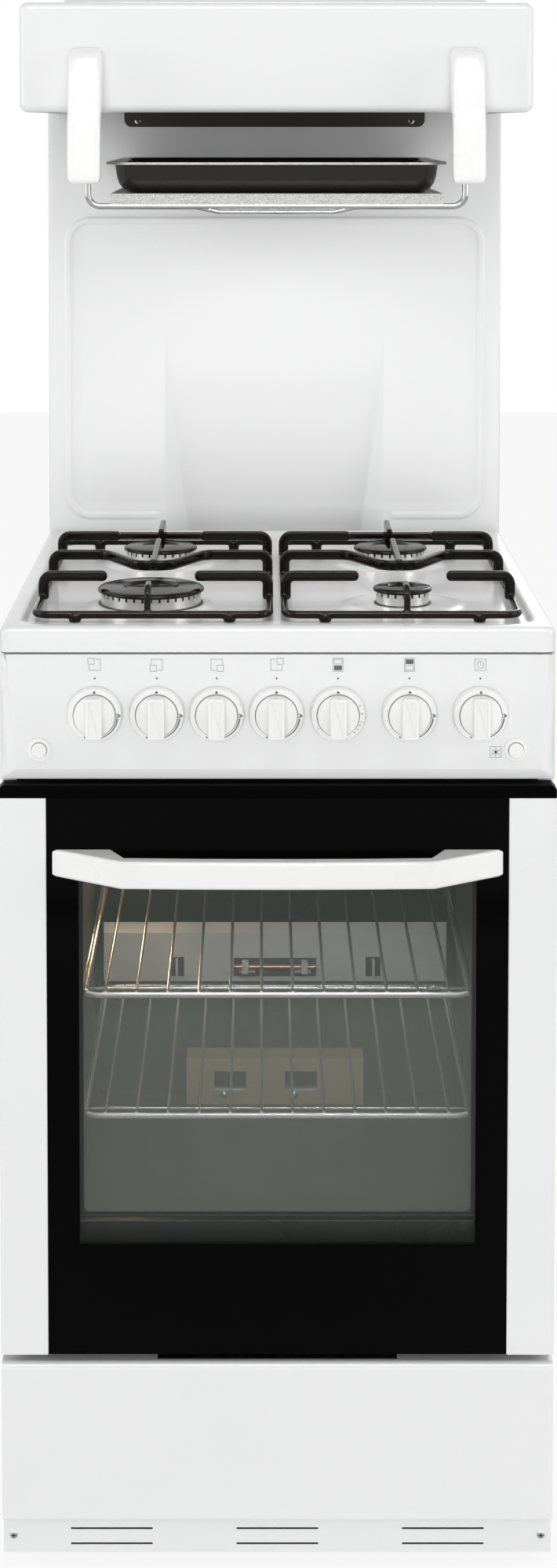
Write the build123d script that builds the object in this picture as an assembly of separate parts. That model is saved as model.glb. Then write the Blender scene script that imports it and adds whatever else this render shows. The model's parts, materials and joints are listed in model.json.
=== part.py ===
from build123d import *
import math
import os

# Eye level grill gas cooker, 50 cm class. Millimetres, +X right, -Y towards the user, +Z up.
# The origin is on the floor, in the middle of the overall width and depth.

# ---- Driving dimensions: overall ----
WIDTH = 502.0
HALF = WIDTH / 2
DOOR_OVERHANG = 1.0
DOOR_WIDTH = WIDTH + 2 * DOOR_OVERHANG
BODY_DEPTH = 600.0
HANDLE_REACH = 43.0
FACIA_SETBACK = 8.0
SPLASHBACK_DEPTH = 42.0
HOB_DEPTH = BODY_DEPTH - FACIA_SETBACK - SPLASHBACK_DEPTH
SHEET = 1.2
FRONT_SHEET = 1.5

# ---- Driving dimensions: heights, stacked from the floor ----
FLOOR_GAP = 15.0
PLINTH_HEIGHT = 33.0
DRAWER_HEIGHT = 146.5
SCOOP_GAP = 9.0
DOOR_HEIGHT = 527.0
FACIA_HEIGHT = 115.5
HOB_LIP_HEIGHT = 22.0
SPLASHBACK_HEIGHT = 571.0
HOOD_HEIGHT = 107.0
VENT_HEIGHT = 19.0

# ---- Named clearances ----
PANEL_GAP = 1.5
JOINT_GAP = 3.0
PLINTH_GAP = 0.5
SLIDE_GAP = 0.3
SEAT_GAP = 0.3
PIVOT_CLEARANCE = 0.05
HOLE_CLEARANCE = 1.0

# ---- Casing ----
CASE_SETBACK = 27.0
CASE_LIFT = 2.0
FLANGE = 12.0
BASE_HEIGHT = 40.0
BACK_RECESS = 20.0
BACK_SLOT = (60.0, 5.0)
BACK_SLOT_COLUMNS = (-120.0, 0.0, 120.0)
BACK_SLOT_DROPS = (130.0, 150.0, 170.0)
PLINTH_SETBACK = 4.0
PLINTH_SLOT = (75.0, 1.8)
PLINTH_SLOT_RISES = (8.0, 22.3)
PLINTH_SLOT_PITCH = 152.0
SCREW_RADIUS = 3.5
SCREW_HEAD = 1.6
# in from the side, up from the foot
PLINTH_SCREW = (9.0, 16.5)
FOOT_RADIUS = 19.0
FOOT_PAD = 9.0
FOOT_EDGE = 1.5
FOOT_STEM_RADIUS = 5.0
FOOT_INSET = 36.0
FOOT_SETBACK = 60.0

# ---- Oven ----
OVEN_MARGIN = 59.0
OVEN_WIDTH = WIDTH - 2 * OVEN_MARGIN
OVEN_DEPTH = 420.0
OVEN_RISE = 69.0
OVEN_DROP = 58.0
OVEN_HEIGHT = DOOR_HEIGHT - OVEN_RISE - OVEN_DROP
OVEN_CORNER = 14.0
OVEN_FLANGE = 10.0
OVEN_RING_RADIUS = 66.0
OVEN_RING_RISE = 257.0
OVEN_RING_WIDTH = 4.0
OVEN_RING_PROUD = 1.5
SEAL_WIDTH = 8.0
SEAL_MARGIN = 4.0
SHELF_RISES = (134.5, 248.5)
SHELF_MARGIN = 11.0
SHELF_HALF = OVEN_WIDTH / 2 - SHELF_MARGIN
SHELF_DEPTH = 360.0
SHELF_FRONT_GAP = 15.0
SHELF_RODS = 12
SHELF_ROD_MARGIN = 21.5
SHELF_ROD_PITCH = 2 * (SHELF_HALF - SHELF_ROD_MARGIN) / (SHELF_RODS - 1)
SHELF_ROD_WIRE = 3.0
SHELF_WIRE = 5.0
SHELF_BEND = 12.0
SHELF_RAIL_SETBACK = 20.0
RUNNER_WIRE = 5.0
RUNNER_OFFSET = 3.5
RUNNER_DROP = 4.2
RUNNER_POSTS = (50.0, 370.0)
RUNNER_MARGIN = 30.0
BAFFLE_RISE = 127.0
BAFFLE_HEIGHT = 53.0
BAFFLE_DEPTH = 9.0
BAFFLE_LIP = 9.0
BAFFLE_LIP_CUT = 1.9
PHIAL_RADIUS = 3.0
PHIAL_LENGTH = 88.0
PHIAL_CLIP = (7.0, 12.0)
PHIAL_CLIP_X = 32.0
COVER_SIZE = (190.0, 50.0)
COVER_DEPTH = 32.0
COVER_WINDOW = (34.0, 22.0)
COVER_WINDOW_X = (-48.0, 28.0)
OVEN_BURNER_RADIUS = 8.0
OVEN_BURNER_LENGTH = 170.0
OVEN_BURNER_WALL = 2.0
LAMP_RADIUS = 17.0
LAMP_PROUD = 8.0
LAMP_DEPTH = 320.0
LAMP_RISE = 300.0

# ---- Oven door ----
GLASS = 4.0
DOOR_PANEL_DEPTH = 14.0
TRIM_WIDTH = 43.0
TRIM_PROUD = 1.5
TRIM_RETURN = 3.0
TRIM_EDGE = 1.5
TOP_TRIM_HEIGHT = 12.0
TOP_TRIM_CORNER = 4.0
WINDOW_MARGIN = 15.0
WINDOW_HALF = OVEN_WIDTH / 2 - WINDOW_MARGIN
WINDOW_RISE = 127.0
WINDOW_DROP = 51.0
WINDOW_HEIGHT = DOOR_HEIGHT - WINDOW_RISE - WINDOW_DROP
WINDOW_CORNER = 6.0
PANE_MARGIN = 4.0
PIVOT_SETBACK = 12.5
PIVOT_RISE = 12.0
PIN_RADIUS = 3.0
LUG_RADIUS = 7.0
LUG_WIDTH = 12.0
BRACKET_NOSE = 6.0
BRACKET_INSET = 21.0
BRACKET_X = HALF - BRACKET_INSET
BRACKET_SHEET = 3.0
BRACKET_GAP = 1.0
NOTCH_HEIGHT = 21.5
NOTCH_WALL = 5.0
HANDLE_MARGIN = 5.0
HANDLE_SLOPE = 64.0
HANDLE_FOOT = 55.0
HANDLE_SPAN = DOOR_WIDTH - 2 * (TRIM_WIDTH + HANDLE_MARGIN)
HANDLE_GRIP_SPAN = HANDLE_SPAN - 2 * HANDLE_SLOPE
HANDLE_FOOT_SPAN = HANDLE_SPAN - 2 * HANDLE_FOOT
HANDLE_HEIGHT = 25.0
HANDLE_THICKNESS = 15.0
HANDLE_DROP = 84.0
HANDLE_RISE = DOOR_HEIGHT - HANDLE_DROP
HANDLE_BOW = 3.0
HANDLE_EDGE = 2.0

# ---- Storage drawer ----
DRAWER_FRONT_DEPTH = 18.0
DRAWER_ROUND = 7.0
DRAWER_POCKET = (220.0, 9.0, 14.0)
DRAWER_BOX_MARGIN = 27.0
DRAWER_BOX_WIDTH = WIDTH - 2 * DRAWER_BOX_MARGIN
DRAWER_BOX_DEPTH = 440.0
DRAWER_BOX_HEIGHT = 100.0
DRAWER_BOX_RISE = 12.0
RUNNER_LEDGE = 12.0
RUNNER_GUIDE = 14.0

# ---- Controls ----
FACIA_BEVEL_DEPTH = 6.5
FACIA_BEVEL_TOP = 6.0
FACIA_BEVEL_LOW = 13.5
FACIA_BEVEL_UNDER = 9.3
FACIA_BEVEL_OVER = 1.5
KNOB_RISE = 60.0
# six gas knobs and then the timer's, as shares of half the width
KNOB_SHARES = (-0.6574, -0.4343, -0.2191, -0.004, 0.2171, 0.4741, 0.7291)
KNOB_CENTRES = tuple(round(HALF * share, 2) for share in KNOB_SHARES)
KNOB_SKIRT_RADIUS = 25.25
KNOB_SKIRT_TAPER = 1.25
KNOB_SKIRT_DEPTH = 7.0
KNOB_DISC_RADIUS = 18.8
KNOB_DISC_DEPTH = 3.0
KNOB_GRIP_WIDTH = 14.7
KNOB_GRIP_DEPTH = 13.0
KNOB_STANDOFF = 1.0
SPINDLE_RADIUS = 4.0
SPINDLE_LENGTH = 34.0
TAP_SIZE = 24.0
TAP_LENGTH = 36.0
TAP_STANDOFF = 9.0
MANIFOLD_SIZE = 16.0
TIMER_RADIUS = 22.0
TIMER_LENGTH = 38.0
BUTTON_INSET = 35.5
BUTTON_X = HALF - BUTTON_INSET
BUTTON_RISE = 27.0
BUTTON_RADIUS = 6.8
BUTTON_LENGTH = 18.0
BUTTON_PROUD = 3.5
BUTTON_TRAVEL = 3.0
BUTTON_EDGE = 0.75
BEZEL_RADIUS = 10.85
BEZEL_FLANGE = 2.0
BEZEL_WALL = 1.5

# ---- Hob ----
BURNER_SHIFT = 4.5
BURNER_DEPTHS = (127.0, 360.0)
# radius of the head for each burner, by side (left is -1) and row (front is 0)
HEAD_RADII = {(-1, 0): 47.5, (1, 0): 25.0, (-1, 1): 35.0, (1, 1): 35.0}
CAP_OVERHANG = 3.0
HOB_RIM = 18.0
HOB_REAR_RIM = 18.0
HOB_WELL_DEPTH = 4.0
HOB_WELL_CORNER = 25.0
HOB_CORNER = 8.0
HOB_ROUND = 6.0
HEAD_HEIGHT = 14.0
HEAD_WALL = 6.0
HEAD_BASE = 4.0
CAP_HEIGHT = 5.0
CAP_EDGE = 1.5
# share of the head's radius, half width, depth
CAP_GROOVE = (0.5, 1.2, 1.2)
PORT_WIDTH = 2.0
PORT_DEPTH = 3.5
PORT_PITCH = 8.0
THROAT_RADIUS = 14.0
THROAT_DROP = 22.0
ELECTRODE_RADIUS = 2.2
ELECTRODE_HEIGHT = 12.0
ELECTRODE_GAP = 4.0

# ---- Pan supports, depths measured back from the front of the hob ----
SUPPORT_INNER = 4.0
SUPPORT_MARGIN = 25.0
SUPPORT_OUTER = HALF - SUPPORT_MARGIN
BURNER_X = (SUPPORT_INNER + SUPPORT_OUTER) / 2 + BURNER_SHIFT
SUPPORT_FRONT = 42.0
SUPPORT_REAR = 421.0
SUPPORT_HEIGHT = 32.5
SUPPORT_WIRE = 6.5
SUPPORT_BEND = 14.0
SUPPORT_PAD_RADIUS = 5.0
SUPPORT_PAD = 3.0
SUPPORT_PAD_INSET = 40.0
BAR_THICK = 5.0
BAR_TALL = 9.0
BAR_BEND = 12.0
BAR_TIP_ROUND = 4.0
PRONG_GAP = 42.0
MIDDLE_DEPTH = 245.0
MIDDLE_DIP = 62.0
DIP_NARROW = 16.0
DIP_WIDE = 48.0
DIP_BEND = 18.0
FINGER_INSET = 50.0
FINGER_RISE = 1.5
REAR_FINGER = (373.0, 437.0)

# ---- Splashback ----
RECESS_HALF = 120.0
RECESS_HEIGHT = 236.0
RECESS_DEPTH = 28.0
COVER_SLOT = (120.0, 5.0)
COVER_SLOT_RISES = (380.0, 395.0, 410.0, 425.0)

# ---- Eye level grill ----
HOOD_INSET = 1.0
HOOD_WIDTH = WIDTH - 2 * HOOD_INSET
HOOD_DEPTH = 344.0
HOOD_ROUND = 9.0
HOOD_LIP = 14.0
VENT_MARGIN = 17.0
VENT_HALF = HOOD_WIDTH / 2 - VENT_MARGIN
VENT_SLANT = 8.0
VENT_DEPTH = 106.0
VENT_SLOT = (36.0, 5.0)
VENT_SLOT_ROW = 27.5
VENT_SLOTS = 9
VENT_SLOT_PITCH = 46.0
ARM_INSET = 65.5
ARM_X = HOOD_WIDTH / 2 - ARM_INSET
ARM_WIDTH = 31.0
ARM_DROP = 68.0
ARM_CLIMB = 62.0
ARM_REACH = 45.0
ARM_THICK = 15.0
ARM_STRAIGHT = 13.6
ARM_JOINT_RISE = 12.4
ARM_SHOULDER = (24.75, 10.54)
ARM_ELBOW = 39.15
ARM_HOLLOW = (3.0, 23.8)
CRADLE_WIRE = 6.0
CRADLE_DROP = 22.0
CRADLE_INSET = 3.5
CRADLE_X = ARM_X - CRADLE_INSET
CRADLE_BEND = 12.0
CRADLE_RAIL_INSET = 41.0
CRADLE_RAIL_X = CRADLE_X - CRADLE_RAIL_INSET
CRADLE_BOW = 5.5
CRADLE_BOW_WIRE = 4.0
CRADLE_RAIL_WIRE = 5.0
CRADLE_BOW_SPAN = (82.0, 55.0)
REFLECTOR_MARGIN = 21.0
REFLECTOR_HALF = CRADLE_X - REFLECTOR_MARGIN
REFLECTOR_TALL = 9.0
REFLECTOR_SHEET = 1.0
REFLECTOR_LEAD = 2.0
TRAY_DEPTH = 330.0
PAN_SETBACK = 4.0
PAN_CORNER = 18.0
PAN_OVERHANG = 5.0
PAN_RIM_HALF = REFLECTOR_HALF + PAN_OVERHANG
PAN_FLARE = 12.0
PAN_TALL = 30.0
PAN_LIP = 7.0
RACK_WIRE = 4.0
RACK_ROD_WIRE = 3.0
RACK_RODS = 11
RACK_RISE = 17.0
RACK_INSET = 9.0
SHIELD_OVERHANG = 6.0
SHIELD_HALF = REFLECTOR_HALF + SHIELD_OVERHANG
SHIELD_DROP = 15.0
SHIELD_HEIGHT = 75.0
SHIELD_CORNER = 8.0
# in from the end, up from the foot
SHIELD_SCREW = (15.0, 6.5)
GRILL_BURNER_MARGIN = 20.0
GRILL_BURNER_SIZE = (2 * (REFLECTOR_HALF - GRILL_BURNER_MARGIN), 200.0, 20.0)
GRILL_BURNER_WALL = 2.0
GRILL_BURNER_DROP = 46.0
GRILL_BURNER_SETBACK = 45.0
GRILL_HANGER = (20.0, 100.0)

# ---- Gas inlet ----
INLET_INSET = 36.0
INLET_X = HALF - INLET_INSET
INLET_RADIUS = 10.5
INLET_LENGTH = 18.0
INLET_NECK_RADIUS = 9.0
INLET_NUT = (14.0, 5.0)
INLET_PIPE_RADIUS = 6.0

# ---- Planes and levels worked out from the sizes above ----
DOOR_FACE = HANDLE_REACH - (BODY_DEPTH + HANDLE_REACH) / 2
REAR = DOOR_FACE + BODY_DEPTH
FACIA_FACE = DOOR_FACE + FACIA_SETBACK
SPLASH_FACE = FACIA_FACE + HOB_DEPTH
CASE_FRONT = DOOR_FACE + CASE_SETBACK
FRAME_FRONT = CASE_FRONT + SHEET
FRAME_BACK = FRAME_FRONT + FRONT_SHEET
BACK_FACE = REAR - BACK_RECESS
TRIM_FACE = DOOR_FACE - TRIM_PROUD
PANEL_FRONT = DOOR_FACE + GLASS
DOOR_BACK = PANEL_FRONT + DOOR_PANEL_DEPTH
INSIDE = HALF - SHEET

PLINTH_TOP = FLOOR_GAP + PLINTH_HEIGHT
DRAWER_LOW = PLINTH_TOP + PLINTH_GAP
DRAWER_TOP = DRAWER_LOW + DRAWER_HEIGHT
DOOR_LOW = DRAWER_TOP + SCOOP_GAP
DOOR_TOP = DOOR_LOW + DOOR_HEIGHT
FACIA_LOW = DOOR_TOP + JOINT_GAP
FACIA_TOP = FACIA_LOW + FACIA_HEIGHT
HOB_LOW = FACIA_TOP + PANEL_GAP
HOB_TOP = HOB_LOW + HOB_LIP_HEIGHT
HOB_FLOOR = HOB_TOP - HOB_WELL_DEPTH
SPLASH_TOP = HOB_TOP + SPLASHBACK_HEIGHT
HOOD_LOW = SPLASH_TOP - HOOD_HEIGHT
HOOD_FRONT = SPLASH_FACE - HOOD_DEPTH
VENT_TOP = SPLASH_TOP + VENT_HEIGHT
CASE_LOW = FLOOR_GAP + CASE_LIFT

OVEN_HALF = OVEN_WIDTH / 2
OVEN_LOW = DOOR_LOW + OVEN_RISE
OVEN_TOP = OVEN_LOW + OVEN_HEIGHT
OVEN_BACK = FRAME_BACK + OVEN_DEPTH
PIVOT = (DOOR_FACE + PIVOT_SETBACK, DOOR_LOW + PIVOT_RISE)
TRIM_TOP = DOOR_TOP - TOP_TRIM_HEIGHT
GLASS_HALF = DOOR_WIDTH / 2 - TRIM_WIDTH
WINDOW_LOW = DOOR_LOW + WINDOW_RISE
WINDOW_TOP = WINDOW_LOW + WINDOW_HEIGHT
KNOB_LEVEL = FACIA_LOW + KNOB_RISE
KNOB_BACK = FACIA_FACE - KNOB_STANDOFF
FACIA_INSIDE = FACIA_FACE + FRONT_SHEET
MANIFOLD_FRONT = FACIA_INSIDE + TAP_STANDOFF + TAP_LENGTH
BUTTON_LEVEL = FACIA_LOW + BUTTON_RISE
SUPPORT_TOP = HOB_FLOOR + SUPPORT_HEIGHT
SUPPORT_WIRE_LEVEL = HOB_FLOOR + SEAT_GAP + SUPPORT_PAD + SUPPORT_WIRE / 2
ARM_LOW = HOOD_LOW - ARM_DROP
ARM_TOP = HOOD_LOW + ARM_CLIMB
ARM_MIDDLE = HOOD_FRONT - ARM_REACH + ARM_THICK / 2
CRADLE_LEVEL = ARM_LOW - CRADLE_DROP
REFLECTOR_LOW = CRADLE_LEVEL + CRADLE_WIRE / 2
PAN_LOW = REFLECTOR_LOW + REFLECTOR_TALL + SLIDE_GAP
PAN_FRONT = ARM_MIDDLE + PAN_SETBACK


def block(x_range, y_range, z_range):
    """Box between two limits on each axis."""
    limits = (x_range, y_range, z_range)
    middle = [(low + high) / 2 for low, high in limits]
    sizes = [abs(high - low) for low, high in limits]
    return Pos(*middle) * Box(*sizes)


def rod(start, end, radius):
    """Round bar between two points."""
    start, end = Vector(*start), Vector(*end)
    return extrude(Plane(origin=start, z_dir=end - start) * Circle(radius), (end - start).length)


def wire(points, bend, diameter):
    """Round wire through points, bent to one radius at each corner."""
    path = FilletPolyline(*points, radius=bend)
    return sweep(Plane(origin=path @ 0, z_dir=path % 0) * Circle(diameter / 2), path=path)


def wire_loop(x_range, y_range, level, bend, diameter):
    """Closed rounded rectangle of round wire lying flat, with its outside at the given limits."""
    size_x = x_range[1] - x_range[0] - diameter
    size_y = y_range[1] - y_range[0] - diameter
    middle = ((x_range[0] + x_range[1]) / 2, (y_range[0] + y_range[1]) / 2, level)
    path = (Pos(*middle) * RectangleRounded(size_x, size_y, bend)).wires()[0]
    return sweep(Plane(origin=path @ 0, z_dir=path % 0) * Circle(diameter / 2), path=path)


def facing_front(y):
    """Plane at depth y whose own x and y are the part's X and Z."""
    return Plane(origin=(0, y, 0), x_dir=(1, 0, 0), z_dir=(0, -1, 0))


def facing_side(x):
    """Plane at width x whose own x and y are the part's Y and Z."""
    return Plane(origin=(x, 0, 0), x_dir=(0, 1, 0), z_dir=(1, 0, 0))


def front_plate(x_range, z_range, corner, y_range):
    """Plate facing the user, with rounded corners."""
    middle = ((x_range[0] + x_range[1]) / 2, (z_range[0] + z_range[1]) / 2)
    shape = Pos(*middle) * RectangleRounded(x_range[1] - x_range[0], z_range[1] - z_range[0], corner)
    return extrude(facing_front(y_range[1]) * shape, y_range[1] - y_range[0])


def mirrored(side, near, far):
    """X limits on the left (side -1) or on the right (side 1)."""
    return tuple(sorted((side * near, side * far)))


def edges_along(shape, axis, position_axis, position):
    """Edges parallel to one axis whose middle lies at a position on another."""
    def at(edge):
        centre = edge.center()
        return {"X": centre.X, "Y": centre.Y, "Z": centre.Z}[position_axis]
    return [edge for edge in shape.edges().filter_by(axis) if abs(at(edge) - position) < 0.01]


# ======================= Casing =======================

def side_panel(side):
    """Steel side with a flange turned in at the front."""
    height = (CASE_LOW, HOB_LOW)
    sheet = block(mirrored(side, INSIDE, HALF), (CASE_FRONT, REAR), height)
    return sheet + block(mirrored(side, INSIDE - FLANGE, INSIDE), (CASE_FRONT, FRAME_FRONT), height)


def back_panel():
    """Rear sheet with air slots, set in so that the gas inlet stays inside the depth."""
    sheet = block((-INSIDE, INSIDE), (BACK_FACE - SHEET, BACK_FACE), (BASE_HEIGHT + SHEET, HOB_LOW))
    length, height = BACK_SLOT
    for x in BACK_SLOT_COLUMNS:
        for drop in BACK_SLOT_DROPS:
            middle = HOB_LOW - drop
            sheet -= block((x - length / 2, x + length / 2), (BACK_FACE - 2 * SHEET, BACK_FACE + SHEET),
                           (middle - height / 2, middle + height / 2))
    hole = rod((INLET_X, BACK_FACE - 2 * SHEET, KNOB_LEVEL), (INLET_X, BACK_FACE + SHEET, KNOB_LEVEL),
               INLET_RADIUS + SEAT_GAP)
    return sheet - hole


def base_plate():
    """Bottom sheet that the feet screw into."""
    return block((-INSIDE, INSIDE), (FRAME_FRONT, BACK_FACE), (BASE_HEIGHT, BASE_HEIGHT + SHEET))


def levelling_feet():
    """Four round feet, each a pad on a threaded stem."""
    feet = []
    for x in (-HALF + FOOT_INSET, HALF - FOOT_INSET):
        for y in (CASE_FRONT + FOOT_SETBACK, REAR - FOOT_SETBACK):
            pad = rod((x, y, 0), (x, y, FOOT_PAD), FOOT_RADIUS)
            pad = chamfer(pad.edges().filter_by(GeomType.CIRCLE), FOOT_EDGE)
            feet.append(pad + rod((x, y, FOOT_PAD), (x, y, BASE_HEIGHT), FOOT_STEM_RADIUS))
    return Compound(children=feet)


def plinth():
    """Bottom front panel with two rows of air slots and a flange all round."""
    face = DOOR_FACE + PLINTH_SETBACK
    panel = block((-HALF, HALF), (face, CASE_FRONT), (FLOOR_GAP, PLINTH_TOP))
    panel -= block((-HALF + FRONT_SHEET, HALF - FRONT_SHEET), (face + FRONT_SHEET, CASE_FRONT + 1),
                   (FLOOR_GAP - 1, PLINTH_TOP - FRONT_SHEET))
    length, height = PLINTH_SLOT
    for column in (-1, 0, 1):
        for rise in PLINTH_SLOT_RISES:
            x, z = column * PLINTH_SLOT_PITCH, FLOOR_GAP + rise
            panel -= block((x - length / 2, x + length / 2), (face - 1, face + 2 * FRONT_SHEET),
                           (z - height / 2, z + height / 2))
    return panel


def screw(x, face, z):
    """Pan head screw whose head sits on a face that looks to the front."""
    return rod((x, face, z), (x, face - SCREW_HEAD, z), SCREW_RADIUS)


def casing_screws():
    """The two plinth screws and the two heat shield screws."""
    plinth_face = DOOR_FACE + PLINTH_SETBACK
    shield_face = SPLASH_FACE - FRONT_SHEET
    shield_level = HOOD_LOW - SHIELD_DROP + SHIELD_SCREW[1]
    screws = []
    for side in (-1, 1):
        screws.append(screw(side * (HALF - PLINTH_SCREW[0]), plinth_face, FLOOR_GAP + PLINTH_SCREW[1]))
        screws.append(screw(side * (SHIELD_HALF - SHIELD_SCREW[0]), shield_face, shield_level))
    return Compound(children=screws)


# ======================= Oven =======================

def oven_front_frame():
    """Front sheet that the cavity hangs on and that the door shuts against."""
    plate = block((-INSIDE, INSIDE), (FRAME_FRONT, FRAME_BACK), (DOOR_LOW, FACIA_LOW))
    return plate - front_plate((-OVEN_HALF, OVEN_HALF), (OVEN_LOW, OVEN_TOP), OVEN_CORNER,
                               (FRAME_FRONT - 1, FRAME_BACK + 1))


def oven_cavity():
    """Enamelled liner, open at the front, with a flange and a round ridge on its rear wall."""
    skin = SHEET
    body = front_plate((-OVEN_HALF - skin, OVEN_HALF + skin), (OVEN_LOW - skin, OVEN_TOP + skin),
                       OVEN_CORNER + skin, (FRAME_BACK, OVEN_BACK + skin))
    body += front_plate((-OVEN_HALF - OVEN_FLANGE, OVEN_HALF + OVEN_FLANGE),
                        (OVEN_LOW - OVEN_FLANGE, OVEN_TOP + OVEN_FLANGE), OVEN_CORNER + OVEN_FLANGE,
                        (FRAME_BACK, FRAME_BACK + skin))
    body -= front_plate((-OVEN_HALF, OVEN_HALF), (OVEN_LOW, OVEN_TOP), OVEN_CORNER,
                        (FRAME_BACK - 1, OVEN_BACK))
    ring_level = OVEN_LOW + OVEN_RING_RISE
    ridge = rod((0, OVEN_BACK, ring_level), (0, OVEN_BACK - OVEN_RING_PROUD, ring_level), OVEN_RING_RADIUS)
    ridge -= rod((0, OVEN_BACK + 1, ring_level), (0, OVEN_BACK - 2 * OVEN_RING_PROUD, ring_level),
                 OVEN_RING_RADIUS - OVEN_RING_WIDTH)
    return body + ridge


def door_seal():
    """Heat resistant seal round the oven mouth."""
    inner_half = OVEN_HALF + SEAL_MARGIN
    inner_z = (OVEN_LOW - SEAL_MARGIN, OVEN_TOP + SEAL_MARGIN)
    depth = (DOOR_BACK + SEAT_GAP, FRAME_FRONT)
    corner = OVEN_CORNER + SEAL_MARGIN
    ring = front_plate((-inner_half - SEAL_WIDTH, inner_half + SEAL_WIDTH),
                       (inner_z[0] - SEAL_WIDTH, inner_z[1] + SEAL_WIDTH), corner + SEAL_WIDTH, depth)
    return ring - front_plate((-inner_half, inner_half), inner_z, corner, (depth[0] - 1, depth[1] + 1))


def shelf_runners():
    """Side racks on the two oven walls: wire rails on flat posts, carrying the shelves."""
    ladders = []
    rail_x = SHELF_HALF - SHELF_WIRE / 2 + RUNNER_OFFSET
    rail_y = (FRAME_BACK + SHELF_FRONT_GAP, FRAME_BACK + SHELF_FRONT_GAP + SHELF_DEPTH)
    height = (OVEN_LOW + SHELF_RISES[0] - RUNNER_MARGIN, OVEN_LOW + SHELF_RISES[1] + RUNNER_MARGIN)
    for side in (-1, 1):
        ladder = Part()
        for setback in RUNNER_POSTS:
            y = FRAME_BACK + setback
            ladder += block(mirrored(side, rail_x, OVEN_HALF), (y - RUNNER_WIRE / 2, y + RUNNER_WIRE / 2),
                            height)
        for rise in SHELF_RISES:
            z = OVEN_LOW + rise - RUNNER_DROP
            ladder += rod((side * rail_x, rail_y[0], z), (side * rail_x, rail_y[1], z), RUNNER_WIRE / 2)
        ladders.append(ladder)
    return Compound(children=ladders)


def oven_shelf(rise):
    """One wire shelf: a rim of thick wire, a second thin front rail and thin rods front to back."""
    level = OVEN_LOW + rise
    front = FRAME_BACK + SHELF_FRONT_GAP
    rear = front + SHELF_DEPTH
    shelf = wire_loop((-SHELF_HALF, SHELF_HALF), (front, rear), level, SHELF_BEND, SHELF_WIRE)
    rod_level = level + SHELF_WIRE / 4
    for index in range(SHELF_RODS):
        x = (index - (SHELF_RODS - 1) / 2) * SHELF_ROD_PITCH
        shelf += rod((x, front + SHELF_WIRE / 2, rod_level), (x, rear - SHELF_WIRE / 2, rod_level),
                     SHELF_ROD_WIRE / 2)
    rail = front + SHELF_RAIL_SETBACK
    inner = SHELF_HALF - SHELF_WIRE / 2
    return shelf + rod((-inner, rail, level), (inner, rail, level), SHELF_ROD_WIRE / 2)


def oven_shelves():
    """The two shelves, which are alike."""
    return Compound(children=[oven_shelf(rise) for rise in SHELF_RISES])


def oven_baffle():
    """Folded sheet across the rear wall, with two clips for the thermostat phial."""
    half = OVEN_HALF - SEAT_GAP
    low = OVEN_LOW + BAFFLE_RISE
    high = low + BAFFLE_HEIGHT
    face = OVEN_BACK - BAFFLE_DEPTH
    outline = Polyline((OVEN_BACK, low), (face, low), (face, high), (OVEN_BACK, high + BAFFLE_LIP),
                       (OVEN_BACK, high + BAFFLE_LIP - BAFFLE_LIP_CUT), (face + SHEET, high - SHEET / 2),
                       (face + SHEET, low + SHEET), (OVEN_BACK, low + SHEET), close=True)
    sheet = extrude(facing_side(-half) * make_face(outline), 2 * half)
    phial_level = low + BAFFLE_HEIGHT / 3
    width, reach = PHIAL_CLIP
    for side in (-1, 1):
        x = side * PHIAL_CLIP_X
        sheet += block((x - width / 2, x + width / 2), (face - reach, face),
                       (phial_level - reach / 2, phial_level + reach / 2))
    y = face - reach / 2
    return sheet - rod((-PHIAL_LENGTH, y, phial_level), (PHIAL_LENGTH, y, phial_level),
                       PHIAL_RADIUS + PIVOT_CLEARANCE)


def thermostat_phial():
    """Sensing bulb of the thermostat, held across the baffle."""
    face = OVEN_BACK - BAFFLE_DEPTH
    y, z = face - PHIAL_CLIP[1] / 2, OVEN_LOW + BAFFLE_RISE + BAFFLE_HEIGHT / 3
    return rod((-PHIAL_LENGTH / 2, y, z), (PHIAL_LENGTH / 2, y, z), PHIAL_RADIUS)


def oven_burner():
    """Round gas burner tube lying on the oven floor behind its cover."""
    y, z = OVEN_BACK - COVER_DEPTH / 2, OVEN_LOW + OVEN_BURNER_RADIUS
    half = OVEN_BURNER_LENGTH / 2
    tube = rod((-half, y, z), (half, y, z), OVEN_BURNER_RADIUS)
    bore_radius = OVEN_BURNER_RADIUS - OVEN_BURNER_WALL
    return tube - rod((-half + OVEN_BURNER_WALL, y, z), (half + 1, y, z), bore_radius)


def oven_burner_cover():
    """Sheet cover in front of the oven burner, with two windows onto the flame."""
    width, height = COVER_SIZE
    front = OVEN_BACK - COVER_DEPTH
    sheet = block((-width / 2, width / 2), (front, front + SHEET), (OVEN_LOW, OVEN_LOW + height))
    sheet += block((-width / 2, width / 2), (front, OVEN_BACK),
                   (OVEN_LOW + height - SHEET, OVEN_LOW + height))
    middle = OVEN_LOW + height / 2
    for x in COVER_WINDOW_X:
        sheet -= block((x - COVER_WINDOW[0] / 2, x + COVER_WINDOW[0] / 2), (front - 1, front + 2 * SHEET),
                       (middle - COVER_WINDOW[1] / 2, middle + COVER_WINDOW[1] / 2))
    return sheet


def oven_lamp():
    """Round lamp glass on the left oven wall."""
    y, z = FRAME_BACK + LAMP_DEPTH, OVEN_LOW + LAMP_RISE
    lamp = rod((-OVEN_HALF, y, z), (-OVEN_HALF + LAMP_PROUD, y, z), LAMP_RADIUS)
    return fillet(lamp.edges().sort_by(Axis.X)[-1], LAMP_PROUD / 2)


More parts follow.
